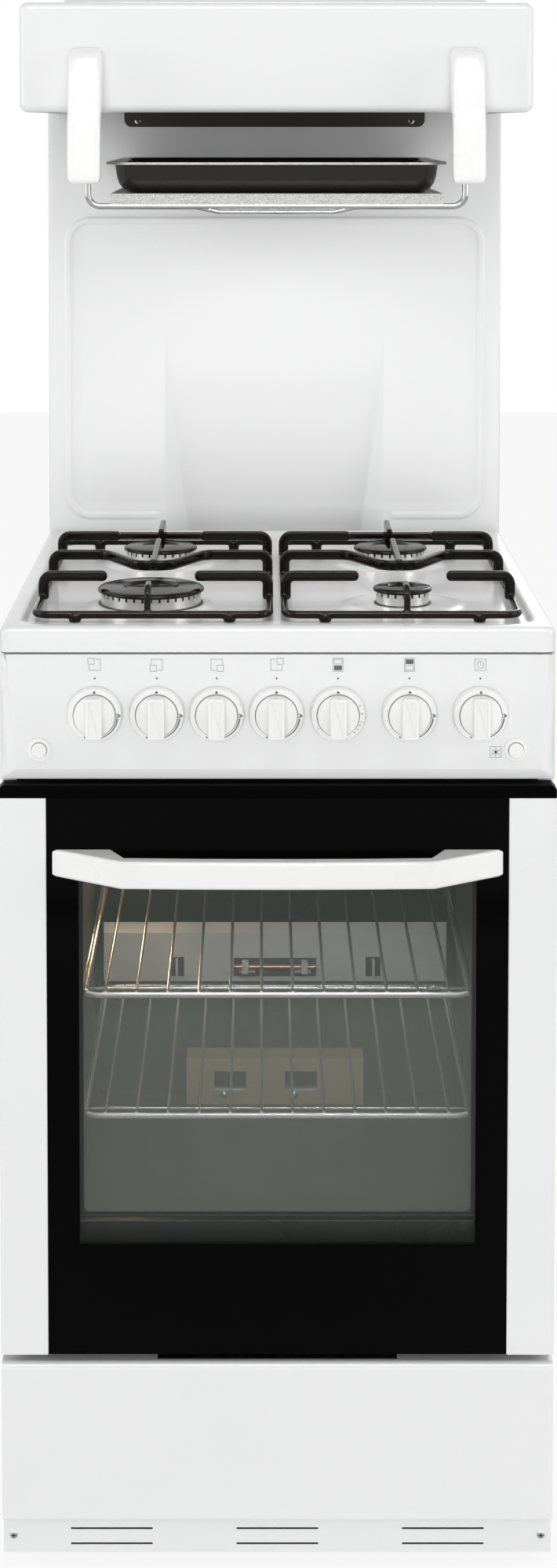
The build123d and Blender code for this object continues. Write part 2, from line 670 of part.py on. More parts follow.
def hinge_brackets():
    """Fixed plates with the pins that the door turns on."""
    y, z = PIVOT
    brackets = []
    for side in (-1, 1):
        plate_x = mirrored(side, BRACKET_X - BRACKET_SHEET / 2, BRACKET_X + BRACKET_SHEET / 2)
        plate = block(plate_x, (y, FRAME_FRONT), (z - BRACKET_NOSE, z + BRACKET_NOSE))
        plate += rod((plate_x[0], y, z), (plate_x[1], y, z), BRACKET_NOSE)
        inner = side * (BRACKET_X - BRACKET_SHEET / 2)
        pin_end = inner - side * (BRACKET_GAP + LUG_WIDTH + BRACKET_GAP)
        brackets.append(plate + rod((inner, y, z), (pin_end, y, z), PIN_RADIUS))
    return Compound(children=brackets)


# ======================= Oven door =======================

def door_inner_panel():
    """Pressed inner door: a shallow pan with a window and notches for the hinges."""
    half = DOOR_WIDTH / 2 - TRIM_RETURN
    back = DOOR_BACK - FRONT_SHEET
    panel = block((-half, half), (PANEL_FRONT, DOOR_BACK), (DOOR_LOW, TRIM_TOP))
    pocket = block((-half + FRONT_SHEET, half - FRONT_SHEET), (PANEL_FRONT - 1, back),
                   (DOOR_LOW + FRONT_SHEET, TRIM_TOP - FRONT_SHEET))
    wall = PANE_MARGIN + FRONT_SHEET
    pocket -= block((-WINDOW_HALF - wall, WINDOW_HALF + wall), (PANEL_FRONT - 2, back + 1),
                    (WINDOW_LOW - wall, WINDOW_TOP + wall))
    lug_inner = BRACKET_X - BRACKET_SHEET / 2 - 2 * BRACKET_GAP - LUG_WIDTH
    notch_outer = BRACKET_X + BRACKET_SHEET / 2 + BRACKET_GAP
    for side in (-1, 1):
        pocket -= block(mirrored(side, lug_inner - NOTCH_WALL, notch_outer + NOTCH_WALL),
                        (PANEL_FRONT - 2, back + 1), (DOOR_LOW, DOOR_LOW + NOTCH_HEIGHT + LUG_WIDTH))
        pocket -= block(mirrored(side, HANDLE_FOOT_SPAN / 2, HANDLE_SPAN / 2), (PANEL_FRONT - 2, back + 1),
                        (DOOR_LOW + HANDLE_RISE, DOOR_LOW + HANDLE_RISE + HANDLE_HEIGHT))
    panel -= pocket
    panel -= block((-WINDOW_HALF - PANE_MARGIN, WINDOW_HALF + PANE_MARGIN), (PANEL_FRONT - 1, back),
                   (WINDOW_LOW - PANE_MARGIN, WINDOW_TOP + PANE_MARGIN))
    panel -= front_plate((-WINDOW_HALF, WINDOW_HALF), (WINDOW_LOW, WINDOW_TOP), WINDOW_CORNER,
                         (back - 1, DOOR_BACK + 1))
    for side in (-1, 1):
        panel -= block(mirrored(side, lug_inner, notch_outer), (PANEL_FRONT - 1, DOOR_BACK + 1),
                       (DOOR_LOW - 1, DOOR_LOW + NOTCH_HEIGHT))
    return panel


def door_outer_glass():
    """Flat outer glass between the white trims."""
    return block((-GLASS_HALF, GLASS_HALF), (DOOR_FACE, PANEL_FRONT), (DOOR_LOW, TRIM_TOP))


def door_inner_glass():
    """Inner pane, resting on the back sheet of the inner panel round its window."""
    half = WINDOW_HALF + PANE_MARGIN - SEAT_GAP
    back = DOOR_BACK - FRONT_SHEET
    return block((-half, half), (back - GLASS, back),
                 (WINDOW_LOW - PANE_MARGIN + SEAT_GAP, WINDOW_TOP + PANE_MARGIN - SEAT_GAP))


def door_side_trims():
    """White angle trims down both edges of the door."""
    trims = []
    for side in (-1, 1):
        outer = DOOR_WIDTH / 2
        face = block(mirrored(side, GLASS_HALF, outer), (TRIM_FACE, PANEL_FRONT), (DOOR_LOW, TRIM_TOP))
        face += block(mirrored(side, outer - TRIM_RETURN, outer), (TRIM_FACE, DOOR_BACK),
                      (DOOR_LOW, TRIM_TOP))
        trims.append(fillet(edges_along(face, Axis.Z, "Y", TRIM_FACE), TRIM_EDGE))
    return Compound(children=trims)


def door_top_trim():
    """Black trim across the top of the door, with cut corners."""
    half = DOOR_WIDTH / 2
    trim = block((-half, half), (TRIM_FACE, DOOR_BACK), (TRIM_TOP, DOOR_TOP))
    return chamfer(edges_along(trim, Axis.Y, "Z", DOOR_TOP), TOP_TRIM_CORNER)


def door_handle():
    """White handle: sloping ends rise from the glass to a slightly bowed grip."""
    half, grip = HANDLE_SPAN / 2, HANDLE_GRIP_SPAN / 2
    inner_foot = HANDLE_FOOT_SPAN / 2
    reach = HANDLE_REACH - HANDLE_BOW
    inner_reach = reach - HANDLE_THICKNESS
    inner_grip = grip - HANDLE_THICKNESS / 4
    inner_middle = (0, -inner_reach - HANDLE_BOW)
    outer = [Line((-half, 0), (-grip, -reach)),
             ThreePointArc((-grip, -reach), (0, -HANDLE_REACH), (grip, -reach)),
             Line((grip, -reach), (half, 0)), Line((half, 0), (inner_foot, 0))]
    inner = [Line((inner_foot, 0), (inner_grip, -inner_reach)),
             ThreePointArc((inner_grip, -inner_reach), inner_middle, (-inner_grip, -inner_reach)),
             Line((-inner_grip, -inner_reach), (-inner_foot, 0)), Line((-inner_foot, 0), (-half, 0))]
    plan = make_face(Wire(outer + inner))
    bar = extrude(Pos(0, DOOR_FACE, DOOR_LOW + HANDLE_RISE) * plan, HANDLE_HEIGHT)
    levels = bar.faces().sort_by(Axis.Z)
    outline = levels[0].edges() + levels[-1].edges()
    return chamfer([edge for edge in outline if edge.center().Y < DOOR_FACE - HANDLE_BOW], HANDLE_EDGE)


def door_hinge_arms():
    """Lugs under the inner panel, bored for the hinge pins."""
    y, z = PIVOT
    arms = []
    for side in (-1, 1):
        outer = BRACKET_X - BRACKET_SHEET / 2 - BRACKET_GAP
        limits = mirrored(side, outer - LUG_WIDTH, outer)
        lug = rod((limits[0], y, z), (limits[1], y, z), LUG_RADIUS)
        lug += block(limits, (y - BRACKET_NOSE, y + BRACKET_NOSE - BRACKET_GAP),
                     (z, DOOR_LOW + NOTCH_HEIGHT))
        lug -= rod((limits[0] - 1, y, z), (limits[1] + 1, y, z), PIN_RADIUS + PIVOT_CLEARANCE)
        arms.append(lug)
    return Compound(children=arms)


# ======================= Storage drawer =======================

def drawer_front():
    """Folded drawer front, open underneath, with a rolled top and a finger pocket behind it."""
    half = DOOR_WIDTH / 2
    back = DOOR_FACE + DRAWER_FRONT_DEPTH
    front = block((-half, half), (DOOR_FACE, back), (DRAWER_LOW, DRAWER_TOP))
    top_front = [edge for edge in edges_along(front, Axis.X, "Z", DRAWER_TOP) if edge.center().Y < back - 1]
    front = fillet(top_front, DRAWER_ROUND)
    width, depth, drop = DRAWER_POCKET
    front -= block((-half + FRONT_SHEET, half - FRONT_SHEET), (DOOR_FACE + FRONT_SHEET, back - FRONT_SHEET),
                   (DRAWER_LOW - 1, DRAWER_TOP - drop - FRONT_SHEET))
    return front - block((-width / 2, width / 2), (back - depth, back + 1),
                         (DRAWER_TOP - drop, DRAWER_TOP + 1))


def drawer_box():
    """Open steel box behind the drawer front."""
    half = DRAWER_BOX_WIDTH / 2
    front = DOOR_FACE + DRAWER_FRONT_DEPTH
    low = DRAWER_LOW + DRAWER_BOX_RISE
    outer = block((-half, half), (front, front + DRAWER_BOX_DEPTH), (low, low + DRAWER_BOX_HEIGHT))
    return outer - block((-half + SHEET, half - SHEET), (front + SHEET, front + DRAWER_BOX_DEPTH - SHEET),
                         (low + SHEET, low + DRAWER_BOX_HEIGHT + 1))


def drawer_runners():
    """Angle rails on both sides that the drawer box slides on."""
    low = DRAWER_LOW + DRAWER_BOX_RISE - SLIDE_GAP
    side_face = DRAWER_BOX_WIDTH / 2 + SLIDE_GAP
    depth = (FRAME_FRONT, FRAME_FRONT + DRAWER_BOX_DEPTH)
    rails = []
    for side in (-1, 1):
        ledge = block(mirrored(side, side_face - RUNNER_LEDGE, INSIDE), depth, (low - FRONT_SHEET, low))
        rails.append(ledge + block(mirrored(side, side_face, side_face + FRONT_SHEET), depth,
                                   (low, low + RUNNER_GUIDE)))
    return Compound(children=rails)


# ======================= Controls =======================

def facia_outline(inset):
    """Back outline and raised face outline of the facia, both drawn in X and Z."""
    half = HALF - inset
    low, high = FACIA_LOW + inset, FACIA_TOP - inset
    back = [(-half, low), (half, low), (half, high), (-half, high)]
    low_half, high_half = half - FACIA_BEVEL_LOW, half - FACIA_BEVEL_TOP
    face_low, face_high = low + FACIA_BEVEL_UNDER, high - FACIA_BEVEL_OVER
    face = [(-low_half, face_low), (low_half, face_low), (high_half, face_high), (-high_half, face_high)]
    return make_face(Polyline(*back, close=True)), make_face(Polyline(*face, close=True))


def facia_shape(inset, back_y):
    """Solid with the facia's outside, or with its inside when inset by the sheet."""
    back, face = facia_outline(inset)
    rim = FACIA_FACE + FACIA_BEVEL_DEPTH + inset
    raised = loft([facing_front(rim) * back, facing_front(FACIA_FACE + inset) * face], ruled=True)
    return raised + extrude(facing_front(back_y) * back, back_y - rim)


def facia_panel():
    """Control panel with a raised face and sloping edges, holes for spindles and buttons."""
    panel = facia_shape(0.0, CASE_FRONT) - facia_shape(FRONT_SHEET, CASE_FRONT + 1)
    depth = (FACIA_FACE - 1, CASE_FRONT)
    for x in KNOB_CENTRES:
        panel -= rod((x, depth[0], KNOB_LEVEL), (x, depth[1], KNOB_LEVEL),
                     SPINDLE_RADIUS + 2 * HOLE_CLEARANCE)
    hole = BUTTON_RADIUS + SLIDE_GAP + BEZEL_WALL
    for side in (-1, 1):
        x = side * BUTTON_X
        panel -= rod((x, depth[0], BUTTON_LEVEL), (x, depth[1], BUTTON_LEVEL), hole)
    return panel


def knob(x):
    """Control knob: tapered skirt, raised disc, grip bar, and the spindle pressed into it."""
    z = KNOB_LEVEL
    axis = Plane(origin=(x, KNOB_BACK, z), x_dir=(1, 0, 0), z_dir=(0, -1, 0))
    front_radius = KNOB_SKIRT_RADIUS - KNOB_SKIRT_TAPER
    skirt = loft([axis * Circle(KNOB_SKIRT_RADIUS), axis.offset(KNOB_SKIRT_DEPTH) * Circle(front_radius)])
    disc_front = KNOB_BACK - KNOB_SKIRT_DEPTH - KNOB_DISC_DEPTH
    disc = rod((x, KNOB_BACK - KNOB_SKIRT_DEPTH, z), (x, disc_front, z), KNOB_DISC_RADIUS)
    grip = rod((x, disc_front, z), (x, disc_front - KNOB_GRIP_DEPTH, z), KNOB_DISC_RADIUS)
    grip &= block((x - KNOB_GRIP_WIDTH / 2, x + KNOB_GRIP_WIDTH / 2),
                  (disc_front - KNOB_GRIP_DEPTH, disc_front), (z - KNOB_DISC_RADIUS, z + KNOB_DISC_RADIUS))
    spindle = rod((x, KNOB_BACK, z), (x, KNOB_BACK + SPINDLE_LENGTH, z), SPINDLE_RADIUS)
    return skirt + disc + grip + spindle


def spindle_bore(x, front, depth):
    """Hole that a knob's spindle turns in."""
    return rod((x, front - 1, KNOB_LEVEL), (x, front + depth, KNOB_LEVEL), SPINDLE_RADIUS + PIVOT_CLEARANCE)


def gas_taps():
    """The six gas taps on the manifold, one behind each gas knob."""
    front = FACIA_INSIDE + TAP_STANDOFF
    middle = front + TAP_LENGTH / 2
    taps = []
    for x in KNOB_CENTRES[:-1]:
        tap = block((x - TAP_SIZE / 2, x + TAP_SIZE / 2), (front, front + TAP_LENGTH),
                    (KNOB_LEVEL - TAP_SIZE / 2, KNOB_LEVEL + TAP_SIZE / 2))
        outlet = rod((x, middle, KNOB_LEVEL), (x, middle, KNOB_LEVEL + TAP_SIZE),
                     SPINDLE_RADIUS + HOLE_CLEARANCE)
        taps.append(tap + outlet - spindle_bore(x, front, TAP_LENGTH - TAP_STANDOFF))
    return Compound(children=taps)


def gas_manifold():
    """Square gas rail across the casing behind the taps."""
    return block((-INSIDE, INSIDE), (MANIFOLD_FRONT, MANIFOLD_FRONT + MANIFOLD_SIZE),
                 (KNOB_LEVEL - MANIFOLD_SIZE / 2, KNOB_LEVEL + MANIFOLD_SIZE / 2))


def timer_unit():
    """Clockwork timer on the back of the facia."""
    x = KNOB_CENTRES[-1]
    case = rod((x, FACIA_INSIDE, KNOB_LEVEL), (x, FACIA_INSIDE + TIMER_LENGTH, KNOB_LEVEL), TIMER_RADIUS)
    return case - spindle_bore(x, FACIA_INSIDE, TIMER_LENGTH - TAP_STANDOFF / 2)


def button_bezels():
    """Round bezels in the facia that guide the two buttons."""
    bore = BUTTON_RADIUS + SLIDE_GAP
    flange_face = FACIA_FACE - BEZEL_FLANGE
    button_end = flange_face - BUTTON_PROUD + BUTTON_LENGTH + BUTTON_TRAVEL
    bottom = button_end + HOLE_CLEARANCE
    bezels = []
    for side in (-1, 1):
        x = side * BUTTON_X
        flange = rod((x, flange_face, BUTTON_LEVEL), (x, FACIA_FACE, BUTTON_LEVEL), BEZEL_RADIUS)
        tube = rod((x, FACIA_FACE, BUTTON_LEVEL), (x, bottom + BEZEL_WALL, BUTTON_LEVEL), bore + BEZEL_WALL)
        hole = rod((x, flange_face - 1, BUTTON_LEVEL), (x, bottom, BUTTON_LEVEL), bore)
        bezels.append(flange + tube - hole)
    return Compound(children=bezels)


def push_button(side):
    """Round push button with a soft edge."""
    x = side * BUTTON_X
    face = FACIA_FACE - BEZEL_FLANGE - BUTTON_PROUD
    button = rod((x, face, BUTTON_LEVEL), (x, face + BUTTON_LENGTH, BUTTON_LEVEL), BUTTON_RADIUS)
    return fillet(button.edges().sort_by(Axis.Y)[0], BUTTON_EDGE)


def gas_inlet():
    """Threaded inlet stub at the back, its nut, and the pipe forward to the manifold."""
    x, z = INLET_X, KNOB_LEVEL
    inside = BACK_FACE - SHEET
    nut_radius, nut_depth = INLET_NUT
    pipe = rod((x, MANIFOLD_FRONT + MANIFOLD_SIZE, z), (x, inside - nut_depth, z), INLET_PIPE_RADIUS)
    nut = rod((x, inside - nut_depth, z), (x, inside, z), nut_radius)
    thread = BACK_FACE + SEAT_GAP
    neck = rod((x, inside, z), (x, thread, z), INLET_NECK_RADIUS)
    return pipe + nut + neck + rod((x, thread, z), (x, thread + INLET_LENGTH, z), INLET_RADIUS)


# ======================= Hob =======================

def burner_centre(side, row):
    """Middle of one hob burner in X and Y."""
    return side * BURNER_X, FACIA_FACE + BURNER_DEPTHS[row]


def hob_tray():
    """Pressed hob with rounded edges, a shallow well and holes for the burner throats."""
    tray = block((-HALF, HALF), (FACIA_FACE, SPLASH_FACE), (HOB_LOW, HOB_TOP))
    corners = [edge for edge in tray.edges().filter_by(Axis.Z) if edge.center().Y < FACIA_FACE + 1]
    tray = fillet(corners, HOB_CORNER)
    rim = [edge for edge in tray.faces().sort_by(Axis.Z)[-1].edges() if edge.center().Y < SPLASH_FACE - 1]
    tray = fillet(rim, HOB_ROUND)
    tray -= block((-INSIDE, INSIDE), (FACIA_FACE + SHEET, SPLASH_FACE - SHEET),
                  (HOB_LOW - 1, HOB_FLOOR - SHEET))
    well = RectangleRounded(WIDTH - 2 * HOB_RIM, HOB_DEPTH - HOB_RIM - HOB_REAR_RIM, HOB_WELL_CORNER)
    middle = FACIA_FACE + HOB_RIM + (HOB_DEPTH - HOB_RIM - HOB_REAR_RIM) / 2
    tray -= extrude(Pos(0, middle, HOB_FLOOR) * well, 2 * HOB_WELL_DEPTH)
    for side, row in HEAD_RADII:
        x, y = burner_centre(side, row)
        tray -= rod((x, y, HOB_FLOOR - 2 * SHEET), (x, y, HOB_FLOOR + 1), THROAT_RADIUS + HOLE_CLEARANCE)
    return tray


def hob_burner_heads():
    """Burner heads: a slotted ring on a base with the throat that hangs below the hob."""
    heads = []
    for (side, row), radius in HEAD_RADII.items():
        x, y = burner_centre(side, row)
        top = HOB_FLOOR + HEAD_HEIGHT
        head = rod((x, y, HOB_FLOOR), (x, y, top), radius)
        head -= rod((x, y, HOB_FLOOR + HEAD_BASE), (x, y, top + 1), radius - HEAD_WALL)
        head += rod((x, y, HOB_FLOOR), (x, y, HOB_FLOOR - THROAT_DROP), THROAT_RADIUS)
        ports = round(2 * math.pi * radius / PORT_PITCH)
        for index in range(ports):
            cutter = Pos(radius - HEAD_WALL / 2, 0, 0) * Box(2 * HEAD_WALL, PORT_WIDTH, 2 * PORT_DEPTH)
            head -= Pos(x, y, top) * Rot(0, 0, 360 * index / ports) * cutter
        heads.append(head)
    return Compound(children=heads)


def hob_burner_caps():
    """Enamelled caps with one round groove, lying on the heads."""
    caps = []
    groove_share, groove_width, groove_depth = CAP_GROOVE
    for (side, row), radius in HEAD_RADII.items():
        x, y = burner_centre(side, row)
        low = HOB_FLOOR + HEAD_HEIGHT
        cap = rod((x, y, low), (x, y, low + CAP_HEIGHT), radius + CAP_OVERHANG)
        cap = fillet(cap.edges().sort_by(Axis.Z)[-1], CAP_EDGE)
        high = low + CAP_HEIGHT
        middle = radius * groove_share
        groove = rod((x, y, high - groove_depth), (x, y, high + 1), middle + groove_width)
        groove -= rod((x, y, low), (x, y, high + 2), middle - groove_width)
        caps.append(cap - groove)
    return Compound(children=caps)


def hob_electrodes():
    """Spark electrodes standing beside the burners, towards the middle of the hob."""
    electrodes = []
    for (side, row), radius in HEAD_RADII.items():
        x, y = burner_centre(side, row)
        reach = (radius + ELECTRODE_GAP + ELECTRODE_RADIUS) / math.sqrt(2)
        px, py = x - side * reach, y + (1 if row == 0 else -1) * reach
        electrodes.append(rod((px, py, HOB_FLOOR), (px, py, HOB_FLOOR + ELECTRODE_HEIGHT),
                              ELECTRODE_RADIUS))
    return Compound(children=electrodes)


def vertices_at(face, x, y):
    """Corners of a flat drawing at one point."""
    return [v for v in face.vertices() if abs(v.X - x) < 0.01 and abs(v.Y - y) < 0.01]


def hook_bar(root, tip, low, high):
    """Flat bar drawn in its own plane: a leg at root, a bend, and a level arm to tip."""
    way = 1 if tip > root else -1
    outline = Polyline((root, low), (root, high), (tip, high), (tip, high - BAR_TALL),
                       (root + way * BAR_TALL, high - BAR_TALL), (root + way * BAR_TALL, low), close=True)
    face = make_face(outline)
    face = fillet(vertices_at(face, root, high), BAR_BEND)
    face = fillet(vertices_at(face, root + way * BAR_TALL, high - BAR_TALL), BAR_BEND - BAR_TALL)
    tips = vertices_at(face, tip, high) + vertices_at(face, tip, high - BAR_TALL)
    return fillet(tips, BAR_TIP_ROUND)


def cross_bar(root_x, tip_x, depth, low):
    """Prong across the hob at one depth, with its leg at root_x."""
    shape = hook_bar(root_x, tip_x, low, SUPPORT_TOP)
    y = FACIA_FACE + depth + BAR_THICK / 2
    return extrude(facing_front(y) * shape, BAR_THICK)


def finger(x, root_depth, tip_depth, low, high):
    """Finger running front to back, with its leg at root_depth."""
    shape = hook_bar(FACIA_FACE + root_depth, FACIA_FACE + tip_depth, low, high)
    return extrude(facing_side(x - BAR_THICK / 2) * shape, BAR_THICK)


def pan_support(side):
    """One of the two welded pan supports: wire base, prongs, wavy middle bar and fingers."""
    inner, outer = side * SUPPORT_INNER, side * SUPPORT_OUTER
    limits = mirrored(side, SUPPORT_INNER, SUPPORT_OUTER)
    front, rear = FACIA_FACE + SUPPORT_FRONT, FACIA_FACE + SUPPORT_REAR
    level, burner_x = SUPPORT_WIRE_LEVEL, side * BURNER_X
    frame = wire_loop(limits, (front, rear), level, SUPPORT_BEND, SUPPORT_WIRE)
    for depth in BURNER_DEPTHS:
        frame += cross_bar(outer, burner_x + side * PRONG_GAP, depth, level)
        frame += cross_bar(inner, burner_x - side * PRONG_GAP, depth, level)
    for root in (outer, inner):
        way = burner_x - root
        tip = root + math.copysign(abs(way) - DIP_WIDE, way)
        frame += cross_bar(root, tip, MIDDLE_DEPTH, level)
    frame += middle_wave(burner_x)
    centre_front = MIDDLE_DEPTH - MIDDLE_DIP - BAR_THICK
    centre_rear = BURNER_DEPTHS[1] - FINGER_INSET
    frame += block((burner_x - BAR_THICK / 2, burner_x + BAR_THICK / 2),
                   (FACIA_FACE + centre_front, FACIA_FACE + centre_rear),
                   (SUPPORT_TOP - BAR_TALL + FINGER_RISE, SUPPORT_TOP + FINGER_RISE))
    frame += finger(burner_x, SUPPORT_FRONT + BAR_THICK / 2, BURNER_DEPTHS[0] - FINGER_INSET,
                    level, SUPPORT_TOP)
    rear_bar = (level, level + BAR_TALL + SUPPORT_WIRE)
    frame += block((limits[0] + SUPPORT_BEND, limits[1] - SUPPORT_BEND),
                   (rear - BAR_THICK, rear - SUPPORT_PAD / 2), rear_bar)
    finger_x = (burner_x - BAR_THICK / 2, burner_x + BAR_THICK / 2)
    frame += block(finger_x, (rear - 2 * BAR_THICK, rear - BAR_THICK / 2), (level, SUPPORT_TOP))
    frame += block(finger_x, (FACIA_FACE + REAR_FINGER[0], FACIA_FACE + REAR_FINGER[1]),
                   (SUPPORT_TOP - BAR_TALL, SUPPORT_TOP))
    for x in (limits[0] + SUPPORT_PAD_INSET, limits[1] - SUPPORT_PAD_INSET):
        for y in (front + SUPPORT_WIRE / 2, rear - SUPPORT_WIRE / 2):
            frame += rod((x, y, HOB_FLOOR + SEAT_GAP), (x, y, level), SUPPORT_PAD_RADIUS)
    return frame


def middle_wave(burner_x):
    """Middle bar in plan, bending forwards round the burner's rear finger."""
    rest, dip = FACIA_FACE + MIDDLE_DEPTH, FACIA_FACE + MIDDLE_DEPTH - MIDDLE_DIP
    end = DIP_WIDE + 2 * BAR_TALL
    plan = [(-end, rest), (-DIP_WIDE, rest), (-DIP_NARROW, dip),
            (DIP_NARROW, dip), (DIP_WIDE, rest), (end, rest)]
    points = [(burner_x + x, y, SUPPORT_TOP - BAR_TALL / 2) for x, y in plan]
    path = FilletPolyline(*points, radius=DIP_BEND)
    section = Plane(origin=path @ 0, x_dir=(0, 1, 0), z_dir=path % 0) * Rectangle(BAR_THICK, BAR_TALL)
    return sweep(section, path=path)


# ======================= Splashback =======================

def recess(grow):
    """Wedge-shaped hollow that deepens down to the hob, or its skin when grown."""
    low = HOB_TOP - grow
    high = HOB_TOP + RECESS_HEIGHT + 2 * grow
    profile = Polyline((SPLASH_FACE - 1, low), (SPLASH_FACE + RECESS_DEPTH + grow, low),
                       (SPLASH_FACE, high), (SPLASH_FACE - 1, high), close=True)
    half = RECESS_HALF + grow
    return extrude(facing_side(-half) * make_face(profile), 2 * half)


def splashback():
    """Tall pressed panel behind the hob, open at the back, with the wedge recess."""
    back = REAR - SHEET
    outer = block((-HALF, HALF), (SPLASH_FACE, back), (HOB_LOW, SPLASH_TOP))
    inner = block((-INSIDE, INSIDE), (SPLASH_FACE + SHEET, back + 1), (HOB_LOW + SHEET, SPLASH_TOP - SHEET))
    return outer - recess(0.0) - (inner - recess(SHEET))


def splashback_rear_cover():
    """Flat sheet that closes the splashback, with slots for the flue."""
    cover = block((-HALF, HALF), (REAR - SHEET, REAR), (HOB_LOW, SPLASH_TOP))
    length, height = COVER_SLOT
    for side in (-1, 1):
        for rise in COVER_SLOT_RISES:
            x, z = side * length, HOB_LOW + rise
            cover -= block((x - length / 2, x + length / 2), (REAR - 2 * SHEET, REAR + 1),
                           (z - height / 2, z + height / 2))
    return cover


# ======================= Eye level grill =======================

def grill_hood():
    """Hood shell over the grill: front, sides and top with a lip turned in below."""
    half = HOOD_WIDTH / 2
    shell = block((-half, half), (HOOD_FRONT, SPLASH_FACE), (HOOD_LOW, SPLASH_TOP))
    shell = fillet(shell.edges().filter_by(Axis.Y), HOOD_ROUND)
    front_edges = shell.faces().sort_by(Axis.Y)[0].edges()
    shell = fillet(front_edges, HOOD_ROUND - SHEET)
    inner = block((-half + SHEET, half - SHEET), (HOOD_FRONT + SHEET, SPLASH_FACE + 1),
                  (HOOD_LOW + SHEET, SPLASH_TOP - SHEET))
    inner = fillet(inner.edges().filter_by(Axis.Y), HOOD_ROUND - SHEET)
    inner = fillet(inner.faces().sort_by(Axis.Y)[0].edges(), HOOD_ROUND - 2 * SHEET)
    mouth = block((-half + HOOD_LIP, half - HOOD_LIP), (HOOD_FRONT + HOOD_LIP, SPLASH_FACE + 1),
                  (HOOD_LOW - 1, HOOD_LOW + HOOD_LIP))
    flue = block((-VENT_HALF + 2 * HOOD_LIP, VENT_HALF - 2 * HOOD_LIP),
                 (REAR - VENT_DEPTH + HOOD_LIP, SPLASH_FACE - HOOD_LIP),
                 (SPLASH_TOP - 2 * SHEET, SPLASH_TOP + 1))
    return shell - inner - mouth - flue


def vent_prism(inset):
    """Low box with slanted ends on top of the hood."""
    half = VENT_HALF - inset
    low, high = SPLASH_TOP, VENT_TOP - inset
    outline = Polyline((-half, low), (half, low), (half - VENT_SLANT, high), (-half + VENT_SLANT, high),
                       close=True)
    return extrude(facing_front(REAR - inset) * make_face(outline), VENT_DEPTH - 2 * inset)


def hood_vent_cover():
    """Raised cover over the flue outlet, with slots in its top."""
    cover = vent_prism(0.0) - vent_prism(SHEET)
    middle = REAR - VENT_DEPTH / 2
    width, length = VENT_SLOT
    for index in range(VENT_SLOTS):
        x = (index - (VENT_SLOTS - 1) / 2) * VENT_SLOT_PITCH
        for row in (-1, 1):
            y = middle + row * VENT_SLOT_ROW
            cover -= block((x - width / 2, x + width / 2), (y - length / 2, y + length / 2),
                           (VENT_TOP - 2 * SHEET, VENT_TOP + 1))
    return cover


def grill_arms():
    """Two white arms that curve forward from the hood and down to the cradle."""
    out = HOOD_FRONT - ARM_REACH
    inside = out + ARM_THICK
    straight = ARM_LOW + ARM_STRAIGHT
    joint = HOOD_LOW + ARM_JOINT_RISE
    shoulder = (HOOD_FRONT - ARM_SHOULDER[0], ARM_TOP - ARM_SHOULDER[1])
    elbow = (HOOD_FRONT - ARM_ELBOW, HOOD_LOW)
    outer = Spline((HOOD_FRONT, ARM_TOP), shoulder, elbow, (out, straight), tangents=[(-1, 0.1), (0, -1)])
    hollow = (inside + ARM_HOLLOW[0], HOOD_LOW - ARM_HOLLOW[1])
    inner = Spline((inside, straight), hollow, (HOOD_FRONT, joint), tangents=[(0, 1), (0.8, 1)])
    foot = Polyline((out, straight), (out, ARM_LOW), (inside, ARM_LOW), (inside, straight))
    back = Line((HOOD_FRONT, joint), (HOOD_FRONT, ARM_TOP))
    side_view = make_face(Wire([*outer.edges(), *foot.edges(), *inner.edges(), *back.edges()]))
    arms = []
    for side in (-1, 1):
        low_x = side * ARM_X - ARM_WIDTH / 2
        arms.append(extrude(facing_side(low_x) * side_view, ARM_WIDTH))
    return Compound(children=arms)


def grill_cradle():
    """Chrome wire cradle: front wire hung from the arms, side rails back to the splashback."""
    y, z = ARM_MIDDLE, CRADLE_LEVEL
    frame = wire([(-CRADLE_X, y, ARM_LOW), (-CRADLE_X, y, z), (CRADLE_X, y, z), (CRADLE_X, y, ARM_LOW)],
                 CRADLE_BEND, CRADLE_WIRE)
    wide, narrow = CRADLE_BOW_SPAN
    low = z - CRADLE_BOW
    frame += wire([(-wide, y, z), (-narrow, y, low), (narrow, y, low), (wide, y, z)],
                  CRADLE_BEND, CRADLE_BOW_WIRE)
    rail_level = REFLECTOR_LOW - CRADLE_RAIL_WIRE / 2
    for side in (-1, 1):
        x = side * CRADLE_RAIL_X
        frame += rod((x, y, rail_level), (x, SPLASH_FACE, rail_level), CRADLE_RAIL_WIRE / 2)
    rear = y + TRAY_DEPTH - CRADLE_WIRE
    cross_level = REFLECTOR_LOW - CRADLE_BOW_WIRE / 2
    return frame + rod((-CRADLE_RAIL_X, rear, cross_level), (CRADLE_RAIL_X, rear, cross_level),
                       CRADLE_BOW_WIRE / 2)


def grill_reflector():
    """Aluminised plate on the cradle with its edges turned down; the grill pan slides on it."""
    front = PAN_FRONT - REFLECTOR_LEAD
    high = REFLECTOR_LOW + REFLECTOR_TALL
    plate = block((-REFLECTOR_HALF, REFLECTOR_HALF), (front, front + TRAY_DEPTH), (REFLECTOR_LOW, high))
    return plate - block((-REFLECTOR_HALF + REFLECTOR_SHEET, REFLECTOR_HALF - REFLECTOR_SHEET),
                         (front + REFLECTOR_SHEET, front + TRAY_DEPTH - REFLECTOR_SHEET),
                         (REFLECTOR_LOW - 1, high - REFLECTOR_SHEET))


